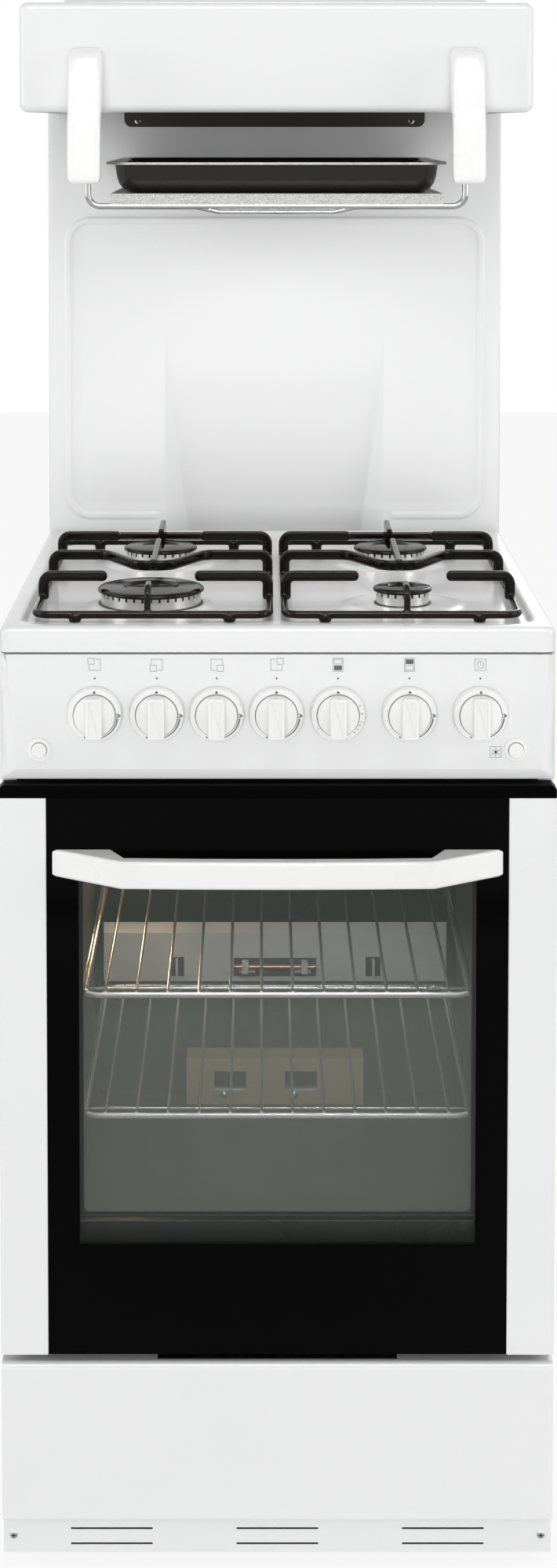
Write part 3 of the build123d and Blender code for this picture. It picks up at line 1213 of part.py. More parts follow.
def pan_shape(inset, low, high):
    """Flared pan solid between two levels, inset by the sheet for the inside."""
    half = PAN_RIM_HALF - PAN_LIP
    middle = PAN_FRONT + TRAY_DEPTH / 2
    rim_depth = TRAY_DEPTH - 2 * PAN_LIP
    base = RectangleRounded(2 * (half - PAN_FLARE - inset), rim_depth - 2 * (PAN_FLARE + inset),
                            PAN_CORNER)
    rim = RectangleRounded(2 * (half - inset), rim_depth - 2 * inset, PAN_CORNER)
    return loft([Pos(0, middle, low) * base, Pos(0, middle, high) * rim])


def grill_pan():
    """Enamelled grill pan with flared sides and a flat lip."""
    high = PAN_LOW + PAN_TALL
    pan = pan_shape(0.0, PAN_LOW, high)
    lip = RectangleRounded(2 * PAN_RIM_HALF, TRAY_DEPTH, PAN_CORNER)
    pan += extrude(Pos(0, PAN_FRONT + TRAY_DEPTH / 2, high - SHEET) * lip, SHEET)
    return pan - pan_shape(SHEET, PAN_LOW + SHEET, high + 0.01)


def grill_pan_rack():
    """Wire rack standing in the pan on four bent feet."""
    level = PAN_LOW + RACK_RISE
    inset = PAN_LIP + PAN_FLARE + RACK_INSET
    half = PAN_RIM_HALF - inset
    depth = (PAN_FRONT + inset, PAN_FRONT + TRAY_DEPTH - inset)
    rack = wire_loop((-half, half), depth, level, PAN_CORNER - RACK_WIRE, RACK_WIRE)
    pitch = (2 * half - 4 * RACK_WIRE) / (RACK_RODS - 1)
    for index in range(RACK_RODS):
        x = -half + 2 * RACK_WIRE + index * pitch
        rack += rod((x, depth[0] + RACK_WIRE / 2, level), (x, depth[1] - RACK_WIRE / 2, level),
                    RACK_ROD_WIRE / 2)
    floor = PAN_LOW + SHEET + SEAT_GAP
    for x in (-half + 6 * RACK_WIRE, half - 6 * RACK_WIRE):
        for y in (depth[0] + RACK_WIRE / 2, depth[1] - RACK_WIRE / 2):
            rack += rod((x, y, floor), (x, y, level), RACK_WIRE / 2)
    return rack


def grill_heat_shield():
    """Dark plate on the splashback under the hood."""
    low = HOOD_LOW - SHIELD_DROP
    return front_plate((-SHIELD_HALF, SHIELD_HALF), (low, low + SHIELD_HEIGHT), SHIELD_CORNER,
                       (SPLASH_FACE - FRONT_SHEET, SPLASH_FACE))


def grill_burner():
    """Flat hollow gas grill burner, open at the rear, hung from the top of the hood."""
    width, depth, height = GRILL_BURNER_SIZE
    front = HOOD_FRONT + GRILL_BURNER_SETBACK
    top = SPLASH_TOP - SHEET - GRILL_BURNER_DROP
    burner = block((-width / 2, width / 2), (front, front + depth), (top - height, top))
    wall = GRILL_BURNER_WALL
    burner -= block((-width / 2 + wall, width / 2 - wall), (front + wall, front + depth + 1),
                    (top - height + wall, top - wall))
    strap, strap_x = GRILL_HANGER
    middle = front + depth / 2
    for side in (-1, 1):
        x = side * strap_x
        burner += block((x - strap / 2, x + strap / 2), (middle - strap, middle + strap),
                        (top, SPLASH_TOP - SHEET))
    return burner


# ======================= Parts =======================

def all_parts():
    """Every node of the cooker by name."""
    parts = {
        "side_panel_left": side_panel(-1),
        "side_panel_right": side_panel(1),
        "back_panel": back_panel(),
        "base_plate": base_plate(),
        "levelling_feet": levelling_feet(),
        "plinth": plinth(),
        "casing_screws": casing_screws(),
        "oven_front_frame": oven_front_frame(),
        "oven_cavity": oven_cavity(),
        "door_seal": door_seal(),
        "shelf_runners": shelf_runners(),
        "oven_shelves": oven_shelves(),
        "oven_baffle": oven_baffle(),
        "thermostat_phial": thermostat_phial(),
        "oven_burner": oven_burner(),
        "oven_burner_cover": oven_burner_cover(),
        "oven_lamp": oven_lamp(),
        "hinge_brackets": hinge_brackets(),
        "door_inner_panel": door_inner_panel(),
        "door_outer_glass": door_outer_glass(),
        "door_inner_glass": door_inner_glass(),
        "door_side_trims": door_side_trims(),
        "door_top_trim": door_top_trim(),
        "door_handle": door_handle(),
        "door_hinge_arms": door_hinge_arms(),
        "drawer_front": drawer_front(),
        "drawer_box": drawer_box(),
        "drawer_runners": drawer_runners(),
        "facia_panel": facia_panel(),
        "gas_taps": gas_taps(),
        "gas_manifold": gas_manifold(),
        "timer_unit": timer_unit(),
        "button_bezels": button_bezels(),
        "light_button": push_button(-1),
        "ignition_button": push_button(1),
        "gas_inlet": gas_inlet(),
        "hob_tray": hob_tray(),
        "hob_burner_heads": hob_burner_heads(),
        "hob_burner_caps": hob_burner_caps(),
        "hob_electrodes": hob_electrodes(),
        "pan_support_left": pan_support(-1),
        "pan_support_right": pan_support(1),
        "splashback": splashback(),
        "splashback_rear_cover": splashback_rear_cover(),
        "grill_hood": grill_hood(),
        "hood_vent_cover": hood_vent_cover(),
        "grill_arms": grill_arms(),
        "grill_cradle": grill_cradle(),
        "grill_reflector": grill_reflector(),
        "grill_pan": grill_pan(),
        "grill_pan_rack": grill_pan_rack(),
        "grill_heat_shield": grill_heat_shield(),
        "grill_burner": grill_burner(),
    }
    for number, x in enumerate(KNOB_CENTRES, start=1):
        parts[f"knob_{number}"] = knob(x)
    return parts


os.makedirs("parts", exist_ok=True)
for name, solid in all_parts().items():
    export_step(solid, f"parts/{name}.step")
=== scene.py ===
import json
import math

import bmesh
import bpy
from mathutils import Matrix, Vector

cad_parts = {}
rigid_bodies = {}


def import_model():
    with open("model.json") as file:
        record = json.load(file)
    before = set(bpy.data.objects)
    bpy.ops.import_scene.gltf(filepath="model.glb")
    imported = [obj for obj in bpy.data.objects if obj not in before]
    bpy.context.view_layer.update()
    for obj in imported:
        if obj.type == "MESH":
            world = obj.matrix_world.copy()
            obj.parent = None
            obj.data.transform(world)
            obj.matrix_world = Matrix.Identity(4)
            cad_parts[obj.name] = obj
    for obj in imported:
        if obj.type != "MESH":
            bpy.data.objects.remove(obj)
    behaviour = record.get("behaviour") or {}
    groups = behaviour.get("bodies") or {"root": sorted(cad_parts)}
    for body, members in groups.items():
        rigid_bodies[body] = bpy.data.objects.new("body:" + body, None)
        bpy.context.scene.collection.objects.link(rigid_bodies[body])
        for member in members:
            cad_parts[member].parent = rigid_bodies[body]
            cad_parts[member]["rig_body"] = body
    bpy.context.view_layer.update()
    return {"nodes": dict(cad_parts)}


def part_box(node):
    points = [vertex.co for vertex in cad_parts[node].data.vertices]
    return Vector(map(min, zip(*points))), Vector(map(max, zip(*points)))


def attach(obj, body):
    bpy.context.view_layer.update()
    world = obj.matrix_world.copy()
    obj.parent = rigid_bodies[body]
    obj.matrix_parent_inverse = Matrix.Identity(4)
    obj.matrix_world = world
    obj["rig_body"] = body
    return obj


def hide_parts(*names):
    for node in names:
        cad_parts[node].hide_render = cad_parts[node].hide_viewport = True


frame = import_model()


# ===== Side panels =====
# Folded steel sheets under a coat of fired white enamel. They carry the base, the back and
# the hob, and their front edges are turned in behind the oven door.

WHITE_TONES = ((0.765, 0.772, 0.77), (0.80, 0.805, 0.80))
ROOT = "cooker_body"
SHEET_EDGE = 0.0005
SOLID_WELD = 0.00001
FLAT_ANGLE = math.radians(0.5)
SHARP_ANGLE = math.radians(30)


class Signal:
    """One socket of a material's nodes, so that a pattern can be written as plain arithmetic."""

    def __init__(self, tree, socket=None):
        self.tree = tree
        self.socket = socket

    def node(self, kind, settings=None, inputs=None, output=0):
        """Adds a node: its settings are set first, then its inputs are given values or links."""
        made = self.tree.nodes.new("ShaderNode" + kind)
        for name, value in (settings or {}).items():
            if name == "stops":
                for stop, (place, colour) in zip(made.color_ramp.elements, value):
                    stop.position = place
                    stop.color = colour
            else:
                setattr(made, name, value)
        for name, value in (inputs or {}).items():
            if isinstance(value, Signal):
                self.tree.links.new(value.socket, made.inputs[name])
            else:
                made.inputs[name].default_value = value
        return Signal(self.tree, made.outputs[output])

    def math(self, operation, other=0.0):
        return self.node("Math", {"operation": operation}, {0: self, 1: other})

    def __add__(self, other):
        return self.math("ADD", other)

    def __sub__(self, other):
        return self.math("SUBTRACT", other)

    def __rsub__(self, other):
        return self.node("Math", {"operation": "SUBTRACT"}, {0: other, 1: self})

    def __mul__(self, other):
        return self.math("MULTIPLY", other)

    def __lt__(self, other):
        return self.math("LESS_THAN", other)

    def __gt__(self, other):
        return self.math("GREATER_THAN", other)

    def __abs__(self):
        return self.math("ABSOLUTE")

    def sine(self):
        return self.math("SINE")

    __radd__ = __add__
    __rmul__ = __mul__

    def mix(self, low, high):
        """Colour that goes from low to high as this signal goes from 0 to 1."""
        return self.node("Mix", {"data_type": "RGBA"}, {"Factor": self, 6: (*low, 1.0), 7: (*high, 1.0)}, 2)

    def noise(self, scale, detail=2.0):
        """Cloudy noise on this place, with scale blobs to the metre."""
        return self.node("TexNoise", None, {"Vector": self, "Scale": scale, "Detail": detail})

    def bump(self, strength, distance):
        """Surface direction when this signal is a height."""
        return self.node("Bump", None, {"Height": self, "Strength": strength, "Distance": distance})

    def axes(self):
        """This place as three signals."""
        return [self.node("SeparateXYZ", None, {0: self}, axis) for axis in range(3)]


def finish(name, constants, pattern):
    """Material with its constant values on the shader and its varying ones from pattern(place)."""
    material = bpy.data.materials.new(name)
    material.use_nodes = True
    tree = material.node_tree
    shader = tree.nodes["Principled BSDF"]
    for socket, value in constants.items():
        shader.inputs[socket].default_value = value
    place = Signal(tree).node("TexCoord", output="Object")
    for socket, signal in pattern(place).items():
        tree.links.new(signal.socket, shader.inputs[socket])
    return material


def coat(name, tones, look, rough, constants=None):
    """Material that drifts between two tones, with a fine bump where its look has a grain."""
    def pattern(place):
        drift = place.noise(look["cloud"], look.get("detail", 2.0))
        sockets = {"Base Color": drift.mix(*tones), "Roughness": rough + look["spread"] * drift}
        if "grain" in look:
            sockets["Normal"] = place.noise(look["grain"], 1.0).bump(*look["relief"])
        return sockets
    return finish(name, constants or {}, pattern)


def add_object(name, data):
    """New object in the scene, which holds a mesh, a lamp or a camera."""
    thing = bpy.data.objects.new(name, data)
    bpy.context.scene.collection.objects.link(thing)
    return thing


def piece(bm, name, materials, body, nodes=(), crease=35.0):
    """Makes a bmesh a smooth piece that rides on a body and stands for CAD nodes."""
    mesh = bpy.data.meshes.new(name)
    bm.to_mesh(mesh)
    bm.free()
    mesh.polygons.foreach_set("use_smooth", [True] * len(mesh.polygons))
    mesh.set_sharp_from_angle(angle=math.radians(crease))
    for material in materials:
        mesh.materials.append(material)
    thing = add_object(name, mesh)
    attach(thing, body)
    if nodes:
        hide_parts(*nodes)
    return thing


def solid_of(node):
    """New bmesh: a node's solid, its loose triangles joined."""
    bm = bmesh.new()
    bm.from_mesh(frame["nodes"][node].data)
    bmesh.ops.remove_doubles(bm, verts=bm.verts, dist=SOLID_WELD)
    return bm


def round_off(bm, geom, radius, segments, affect="EDGES", clamp=False):
    """Turns edges or corners of a bmesh into rounds."""
    bmesh.ops.bevel(bm, geom=geom, offset=radius, offset_type="OFFSET", affect=affect,
                    segments=segments, profile=0.5, material=-1, clamp_overlap=clamp)


def skin(node, material, rounding, segments=2, longer_than=0.0):
    """Copy of a node's solid, with whole faces and with its long sharp edges rounded."""
    bm = solid_of(node)
    bmesh.ops.dissolve_limit(bm, angle_limit=FLAT_ANGLE, verts=bm.verts, edges=bm.edges)
    sharp = [edge for edge in bm.edges
             if edge.is_manifold and edge.calc_face_angle() > SHARP_ANGLE
             and edge.calc_length() > longer_than]
    round_off(bm, sharp, rounding, segments, clamp=True)
    body = frame["nodes"][node]["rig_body"]
    thing = piece(bm, node + "_skin", [material], body, [node])
    thing.modifiers.new("even_faces", "WEIGHTED_NORMAL").keep_sharp = True
    return thing


def carry(material, *nodes):
    """Gives CAD nodes that stay as they are their finish."""
    for node in nodes:
        for material_slot in frame["nodes"][node].material_slots:
            material_slot.material = material


ENAMEL_GLOSS = {"Coat Weight": 0.12, "Coat Roughness": 0.08, "Specular IOR Level": 0.36}
ENAMEL_LOOK = {"cloud": 5.0, "spread": 0.08, "grain": 190.0, "relief": (0.05, 0.0004)}
white_enamel = coat("white_enamel", WHITE_TONES, ENAMEL_LOOK, rough=0.20, constants=ENAMEL_GLOSS)
for panel in ("side_panel_left", "side_panel_right"):
    skin(panel, white_enamel, SHEET_EDGE)


# ===== Back, base and rear cover =====
# Galvanised sheet straight from the roll, with its zinc crystals showing. It is bent, punched
# and screwed on, and stays unpainted because it faces the wall.

ZINC_TONES = ((0.42, 0.44, 0.46), (0.60, 0.62, 0.64))


def zinc_pattern(place):
    """Flat zinc crystals of about a centimetre, each with its own tone."""
    crystal = place.node("TexVoronoi", None, {"Vector": place, "Scale": 95.0}, "Color")
    tone = crystal.node("SeparateColor", None, {0: crystal})
    grain = place.noise(900.0)
    return {
        "Base Color": tone.mix(*ZINC_TONES),
        "Roughness": 0.32 + 0.18 * tone,
        "Normal": (grain + tone).bump(0.08, 0.0003),
    }


galvanised = finish("galvanised", {"Metallic": 0.9}, zinc_pattern)
carry(galvanised, "back_panel", "base_plate", "splashback_rear_cover", "drawer_runners", "drawer_box")


# ===== Levelling feet =====
# Black moulded feet on threaded stems, screwed into the base so that the cooker stands level.

BLACK_TONES = ((0.012, 0.012, 0.013), (0.030, 0.030, 0.031))
MOULDED_LOOK = {"cloud": 18.0, "spread": 0.10, "grain": 1400.0, "relief": (0.12, 0.0002)}
black_plastic = coat("black_plastic", BLACK_TONES, MOULDED_LOOK, rough=0.42)
carry(black_plastic, "levelling_feet")


# ===== Plinth =====
# Bottom front panel in the casing's white enamel, pressed from one sheet, with two rows of
# punched air slots. A black sheet behind them is painted shade, which stands for the dark inside the slots.

SHADE_SHEET_INSET = 0.006
SHADE_SHEET_BACK = 0.0030
SHADE_SHEET_THICK = 0.0008
SHADE_SHEET_EDGE = 0.0002


def around(middle, half):
    """Limits of a length that is centred on a middle."""
    return middle - half, middle + half


def slab(x_range, y_range, z_range, rounding=0.0):
    """New bmesh: a box between two limits on each axis, with rounded edges if asked."""
    bm = bmesh.new()
    bmesh.ops.create_cube(bm, size=1.0)
    limits = (x_range, y_range, z_range)
    bmesh.ops.scale(bm, vec=[high - low for low, high in limits], verts=bm.verts)
    bmesh.ops.translate(bm, vec=[(low + high) / 2 for low, high in limits], verts=bm.verts)
    if rounding:
        round_off(bm, bm.edges, rounding, 2)
    return bm


skin("plinth", white_enamel, SHEET_EDGE)
plinth_low, plinth_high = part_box("plinth")
# The black sheet behind the slots is painted shade, not a part of the cooker.
shade_sheet_face = plinth_low.y + SHADE_SHEET_BACK
slot_shade_sheet = slab((plinth_low.x + SHADE_SHEET_INSET, plinth_high.x - SHADE_SHEET_INSET),
              (shade_sheet_face, shade_sheet_face + SHADE_SHEET_THICK),
              (plinth_low.z + SHADE_SHEET_INSET / 2, plinth_high.z - SHADE_SHEET_INSET / 2), SHADE_SHEET_EDGE)
piece(slot_shade_sheet, "plinth_slot_shade_sheet", [black_plastic], ROOT, ())


# ===== Screws =====
# Zinc plated pan head screws with a cross recess, whose shade is painted as a black cross: two
# hold the plinth and two hold the heat shield under the hood.

SCREW_RISE = 0.0016
SCREW_HEAD = [(0.0, SCREW_RISE), (0.0018, 0.92 * SCREW_RISE), (0.0030, 0.6 * SCREW_RISE), (0.0036, 0.0002),
              (0.0036, 0.0), (0.0, 0.0)]
CROSS_LONG = 0.0020
CROSS_WIDE = 0.00045
CROSS_DEEP = 0.0008
PLINTH_SCREW_INSET = 0.0035
PLINTH_SCREW_RISE = 0.0165
SHIELD_SCREW_X = 0.151
SHIELD_SCREW_RISE = 0.0065
SCREW_TONES = ((0.30, 0.31, 0.32), (0.66, 0.67, 0.68))
TO_USER = (0, -1, 0)
UPWARDS = (0, 0, 1)
FINE_WELD = 0.000002


def bare_metal(name, tones, rough, metallic=1.0, cloud=120.0):
    """Worn metal with cloudy tone and roughness and a fine grain."""
    look = {"cloud": cloud, "detail": 3.0, "spread": 0.16, "grain": 2200.0, "relief": (0.05, 0.0002)}
    return coat(name, tones, look, rough, {"Metallic": metallic})


def close_up(bm, distance=FINE_WELD):
    """Joins a bmesh's double points and turns its faces outwards."""
    bmesh.ops.remove_doubles(bm, verts=bm.verts, dist=distance)
    bmesh.ops.recalc_face_normals(bm, faces=bm.faces)


def spun(profile, centre, direction, steps):
    """New bmesh: a profile of (radius, rise) points turned once round an axis through centre."""
    bm = bmesh.new()
    points = [bm.verts.new((radius, 0.0, rise)) for radius, rise in profile]
    edges = [bm.edges.new(pair) for pair in zip(points, points[1:])]
    bmesh.ops.spin(bm, geom=points + edges, cent=(0, 0, 0), axis=(0, 0, 1), angle=math.tau,
                   steps=steps, use_merge=True)
    close_up(bm)
    turn = Vector(UPWARDS).rotation_difference(Vector(direction)).to_matrix().to_4x4()
    bmesh.ops.transform(bm, matrix=Matrix.Translation(centre) @ turn, verts=bm.verts)
    return bm


def gather(target, other, material=0):
    """Moves a bmesh's shape into another, with one material number."""
    for face in other.faces:
        face.material_index = material
    spare = bpy.data.meshes.new("spare")
    other.to_mesh(spare)
    other.free()
    target.from_mesh(spare)
    bpy.data.meshes.remove(spare)


zinc_plated = bare_metal("zinc_plated", SCREW_TONES, rough=0.22)
cross_recess_shade = bare_metal("cross_recess_shade", BLACK_TONES, rough=0.5, metallic=0.6)
screws = bmesh.new()
shield_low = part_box("grill_heat_shield")[0]
plinth_screw_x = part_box("casing_screws")[1].x - PLINTH_SCREW_INSET
screw_places = [(side * plinth_screw_x, plinth_low.y, plinth_low.z + PLINTH_SCREW_RISE) for side in (-1, 1)]
screw_places += [(side * SHIELD_SCREW_X, shield_low.y, shield_low.z + SHIELD_SCREW_RISE) for side in (-1, 1)]
for x, y, z in screw_places:
    gather(screws, spun(SCREW_HEAD, (x, y, z), TO_USER, 24))
    top = y - SCREW_RISE
    # The cross is a dark box in the head: its black is painted shade for the recess.
    for half_x, half_z in ((CROSS_LONG, CROSS_WIDE), (CROSS_WIDE, CROSS_LONG)):
        gather(screws, slab(around(x, half_x), (top, top + CROSS_DEEP), around(z, half_z)), 1)
piece(screws, "cross_head_screws", [zinc_plated, cross_recess_shade], ROOT, ["casing_screws"])


# ===== Oven liner and front frame =====
# The liner is pressed steel in speckled grey enamel, which stands the oven's heat. A round
# ridge stiffens its rear wall, and its flange is welded to the front frame.

LINER_BASE = (0.022, 0.027, 0.024)
LINER_SPECK = (0.060, 0.066, 0.062)


def speckled_pattern(place):
    """Dark coat with fine pale specks, a little uneven in its gloss."""
    specks = place.node("TexVoronoi", None, {"Vector": place, "Scale": 700.0}, "Distance")
    lit = specks.node("ValToRGB", {"stops": [(0.10, (1, 1, 1, 1)), (0.24, (0, 0, 0, 1))]}, {0: specks})
    cloud = place.noise(9.0)
    return {
        "Base Color": (lit * 0.07 + cloud * 0.06).mix(LINER_BASE, LINER_SPECK),
        "Roughness": 0.46 + 0.08 * cloud,
    }


liner_enamel = finish("liner_enamel", {"Specular IOR Level": 0.15}, speckled_pattern)
carry(liner_enamel, "oven_cavity", "oven_front_frame")


# ===== Oven seal =====
# Woven glass fibre rope round the oven mouth, squeezed flat by the shut door.

ROPE_TONES = ((0.035, 0.035, 0.034), (0.16, 0.16, 0.155))
STRANDS = 2600.0


def rope_pattern(place):
    """Diagonal braid of about two millimetres."""
    x, y, z = place.axes()
    one_way = ((x + y + z) * STRANDS).sine()
    other_way = ((x + y - z) * STRANDS).sine()
    braid = one_way * other_way * 0.5 + 0.5
    return {
        "Base Color": braid.mix(*ROPE_TONES),
        "Roughness": 0.75 + 0.15 * braid,
        "Normal": braid.bump(0.6, 0.0008),
    }


seal_fibre = finish("seal_fibre", {}, rope_pattern)
carry(seal_fibre, "door_seal")


# ===== Shelves and their side racks =====
# Bright chromium plated steel wire, spot welded. Each shelf has twelve thin rods on a thick
# rim, and the racks hook it up on the oven's side walls.

CHROME_TONES = ((0.40, 0.40, 0.40), (0.55, 0.55, 0.55))
chrome = bare_metal("chrome", CHROME_TONES, rough=0.05, cloud=60.0)
RAIL_PAINTED_HIGHLIGHT = (0.95, 0.95, 0.94)
RAIL_DEEP = 0.006
FRONT_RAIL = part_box("oven_shelves")[0].y + RAIL_DEEP


def wire_pattern(place):
    """Bright wire, whose front rail has a painted highlight: it is coloured white and made less metallic."""
    front = place.axes()[1] < FRONT_RAIL
    cloud = place.noise(60.0, 3.0)
    return {
        "Base Color": front.mix(CHROME_TONES[0], RAIL_PAINTED_HIGHLIGHT),
        "Metallic": 0.90 - 0.60 * front,
        "Roughness": 0.16 + 0.10 * cloud,
    }


shelf_wire = finish("shelf_wire", {}, wire_pattern)
carry(shelf_wire, "oven_shelves")
carry(chrome, "shelf_runners")


# ===== Baffle, phial and their clips =====
# Aluminised steel strip folded across the oven's rear wall. The thermostat's copper phial is
# held in front of a dark pressed bracket, and a folded clip stands at each side of it. A form
# here is a strip's limits on X, Y and Z from its own centre, and its rounding.

ALUMINISED_TONES = ((0.42, 0.44, 0.44), (0.62, 0.64, 0.64))
COPPER_TONES = ((0.36, 0.20, 0.14), (0.62, 0.36, 0.24))
DARK_STEEL_TONES = ((0.028, 0.028, 0.028), (0.060, 0.058, 0.056))
WARM_LIGHT_TONES = ((0.35, 0.27, 0.19), (0.50, 0.40, 0.29))
BRACKET = ((-0.0445, 0.0445), (-0.0012, 0.0), (-0.0120, 0.0080), 0.0004)
BRACKET_LIP = ((-0.009, 0.009), (-0.0040, -0.0010), (-0.0075, -0.0045), 0.0008)
CLIP_FOOT = ((-0.008, 0.008), (-0.0010, 0.0), (-0.0120, 0.0090), 0.0003)
CLIP_BLADE = ((-0.001, 0.0015), (-0.0090, -0.0005), (-0.0110, 0.0080), 0.0004)
LIP_X = 0.030
CLIP_X = 0.106
PHIAL_CLEAR = 0.003


def brushed(name, tones, rough, metallic, stretch):
    """Material of rolled sheet, with long faint streaks along X."""
    def pattern(place):
        drawn = place.node("Mapping", None, {0: place, "Scale": (stretch, 1.0, 1.0)})
        streak = drawn.noise(320.0, 3.0)
        cloud = place.noise(22.0)
        return {
            "Base Color": (streak * 0.6 + cloud * 0.4).mix(*tones),
            "Roughness": rough + 0.18 * streak,
            "Normal": streak.bump(0.08, 0.0002),
        }
    return finish(name, {"Metallic": metallic}, pattern)


aluminised = brushed("aluminised", ALUMINISED_TONES, rough=0.34, metallic=0.25, stretch=0.06)
copper = bare_metal("copper", COPPER_TONES, rough=0.25)
dark_steel = brushed("dark_steel", DARK_STEEL_TONES, rough=0.38, metallic=0.5, stretch=0.1)
# The burner cover's tan tone is painted warm light, for the oven lamp's glow on it.
cover_warm_light = brushed("cover_warm_light", WARM_LIGHT_TONES, rough=0.36, metallic=0.2, stretch=0.06)
carry(aluminised, "oven_baffle")
carry(cover_warm_light, "oven_burner_cover")
carry(copper, "thermostat_phial")
phial_low, phial_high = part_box("thermostat_phial")
clips = bmesh.new()
clip_rows = [(BRACKET, 0.0, 0)]
for side in (-1, 1):
    clip_rows.append((BRACKET_LIP, side * LIP_X, 1))
    clip_rows += [(CLIP_FOOT, side * CLIP_X, 0), (CLIP_BLADE, side * CLIP_X, 1)]
for form, x, material in clip_rows:
    centre = (x, phial_high.y + PHIAL_CLEAR, (phial_low.z + phial_high.z) / 2)
    limits = [(middle + low, middle + high) for middle, (low, high) in zip(centre, form)]
    gather(clips, slab(*limits, form[3]), material)
piece(clips, "baffle_clips", [dark_steel, aluminised], ROOT, ())


# ===== Oven burner and lamp =====
# A blackened steel burner tube lies behind the cover's two windows, held by two screws. The
# lamp is a heat proof glass dome over a small filament bulb on the left wall.

COVER_SCREW = [(0.0, 0.0022), (0.0022, 0.0018), (0.0038, 0.0003), (0.0038, 0.0), (0.0, 0.0)]
COVER_SCREW_X = (-0.055, 0.021)
COVER_SCREW_RISE = 0.010
BURNER_TONES = ((0.10, 0.095, 0.09), (0.26, 0.24, 0.23))
FROST_TONES = ((0.9, 0.6, 0.35), (1.0, 0.85, 0.6))
GLOW_TONES = ((1.0, 0.62, 0.30), (1.0, 0.78, 0.5))
BULB_WATTS = 0.7
BULB_RADIUS = 0.012
BULB_INSET = 0.017
BULB_CLEAR = 0.020
burner_steel = bare_metal("burner_steel", BURNER_TONES, rough=0.40, metallic=0.9)
carry(burner_steel, "oven_burner", "grill_burner")
cover_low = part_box("oven_burner_cover")[0]
cover_screws = bmesh.new()
for x in COVER_SCREW_X:
    gather(cover_screws, spun(COVER_SCREW, (x, cover_low.y, cover_low.z + COVER_SCREW_RISE), TO_USER, 20))
piece(cover_screws, "burner_cover_screws", [zinc_plated], ROOT, ())


def lamp_pattern(place):
    """Frosted glass, brighter in its middle."""
    frost = place.noise(160.0)
    return {
        "Base Color": frost.mix(*FROST_TONES),
        "Emission Color": frost.mix(*GLOW_TONES),
        "Roughness": 0.2 + 0.1 * frost,
    }


lamp_glass = finish("lamp_glass", {"Emission Strength": 3.0}, lamp_pattern)
carry(lamp_glass, "oven_lamp")
lamp_low, lamp_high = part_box("oven_lamp")
bulb = bpy.data.lights.new("oven_bulb", "POINT")
bulb.energy = BULB_WATTS
bulb.color = GLOW_TONES[0]
bulb.shadow_soft_size = BULB_RADIUS
bulb_place = add_object("oven_bulb", bulb)
bulb_place.location = (lamp_high.x + BULB_CLEAR, lamp_low.y + BULB_INSET, lamp_low.z + BULB_INSET)


# ===== Hinges =====
# Zinc plated steel plates with the pins that the oven door turns on, and the lugs under the
# door that are bored for them.

carry(zinc_plated, "hinge_brackets", "door_hinge_arms")


# ===== Inner door =====
# A shallow pan pressed from steel, in dark grey enamel, with a window for the inner pane.

GREY_TONES = ((0.020, 0.021, 0.020), (0.034, 0.036, 0.034))
DARK_ENAMEL_LOOK = {"cloud": 14.0, "spread": 0.10, "grain": 260.0, "relief": (0.12, 0.0004)}
PANE_REFLECTION_TOP = 0.605
PANE_REFLECTION_FADE = 11.0
PANE_SEEN = 0.1767
PANE_FOOT = 0.3315
PANE_FILM = 0.06
PANE_BODY = 0.17
PANE_UPPER_TONE = (0.070, 0.092, 0.076)
PANE_PAINTED_REFLECTION = (0.400, 0.440, 0.388)
grey_enamel = coat("grey_enamel", GREY_TONES, DARK_ENAMEL_LOOK, rough=0.24)
skin("door_inner_panel", grey_enamel, rounding=0.0006)


def pane_pattern(place):
    """Grey-green body of a heat reflecting pane, with a painted reflection that makes it lighter towards its
    foot.
    """
    x, _, z = place.axes()
    cloud = place.noise(12.0)
    drop = (PANE_REFLECTION_TOP - z) * PANE_REFLECTION_FADE
    seen = (abs(x) < PANE_SEEN) * (z > PANE_FOOT)
    return {
        "Base Color": drop.mix(PANE_UPPER_TONE, PANE_PAINTED_REFLECTION),
        "Alpha": PANE_FILM + (PANE_BODY + 0.02 * cloud) * seen,
        "Roughness": 0.03 + 0.02 * cloud,
    }


clear_glass = finish("clear_glass", {}, pane_pattern)
carry(clear_glass, "door_inner_glass")


# ===== Outer door glass =====
# One flat toughened pane with ground edges, screen printed black on its back. The print
# leaves a clear window, through which the grey-green of the glass shows.

WINDOW_HALF = 0.180
WINDOW_LOW = 0.307
WINDOW_HIGH = 0.663
PRINT_COVER = 0.84
PRINT_BLACK = (0.0016, 0.0016, 0.0016)
GLASS_TINT = (0.045, 0.052, 0.046)


def printed_pane_pattern(place):
    """Black print outside the window, tinted clear glass inside it."""
    x, _, z = place.axes()
    clear = (abs(x) < WINDOW_HALF) * (z > WINDOW_LOW) * (z < WINDOW_HIGH)
    cloud = place.noise(4.0)
    return {
        "Base Color": clear.mix(PRINT_BLACK, GLASS_TINT),
        "Alpha": 1.0 - clear * PRINT_COVER,
        "Roughness": 0.05 + 0.03 * cloud,
    }


printed_glass = finish("printed_glass", {"Specular IOR Level": 0.03}, printed_pane_pattern)
door_glass = slab(*zip(*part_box("door_outer_glass")), rounding=0.0006)
piece(door_glass, "door_glass", [printed_glass], "oven_door", ["door_outer_glass"])


# ===== Door trims and handle =====
# Two white enamelled angles and a black top rail frame the glass. The handle is one white
# moulding, with flat facets and sloping ends bolted through the glass.

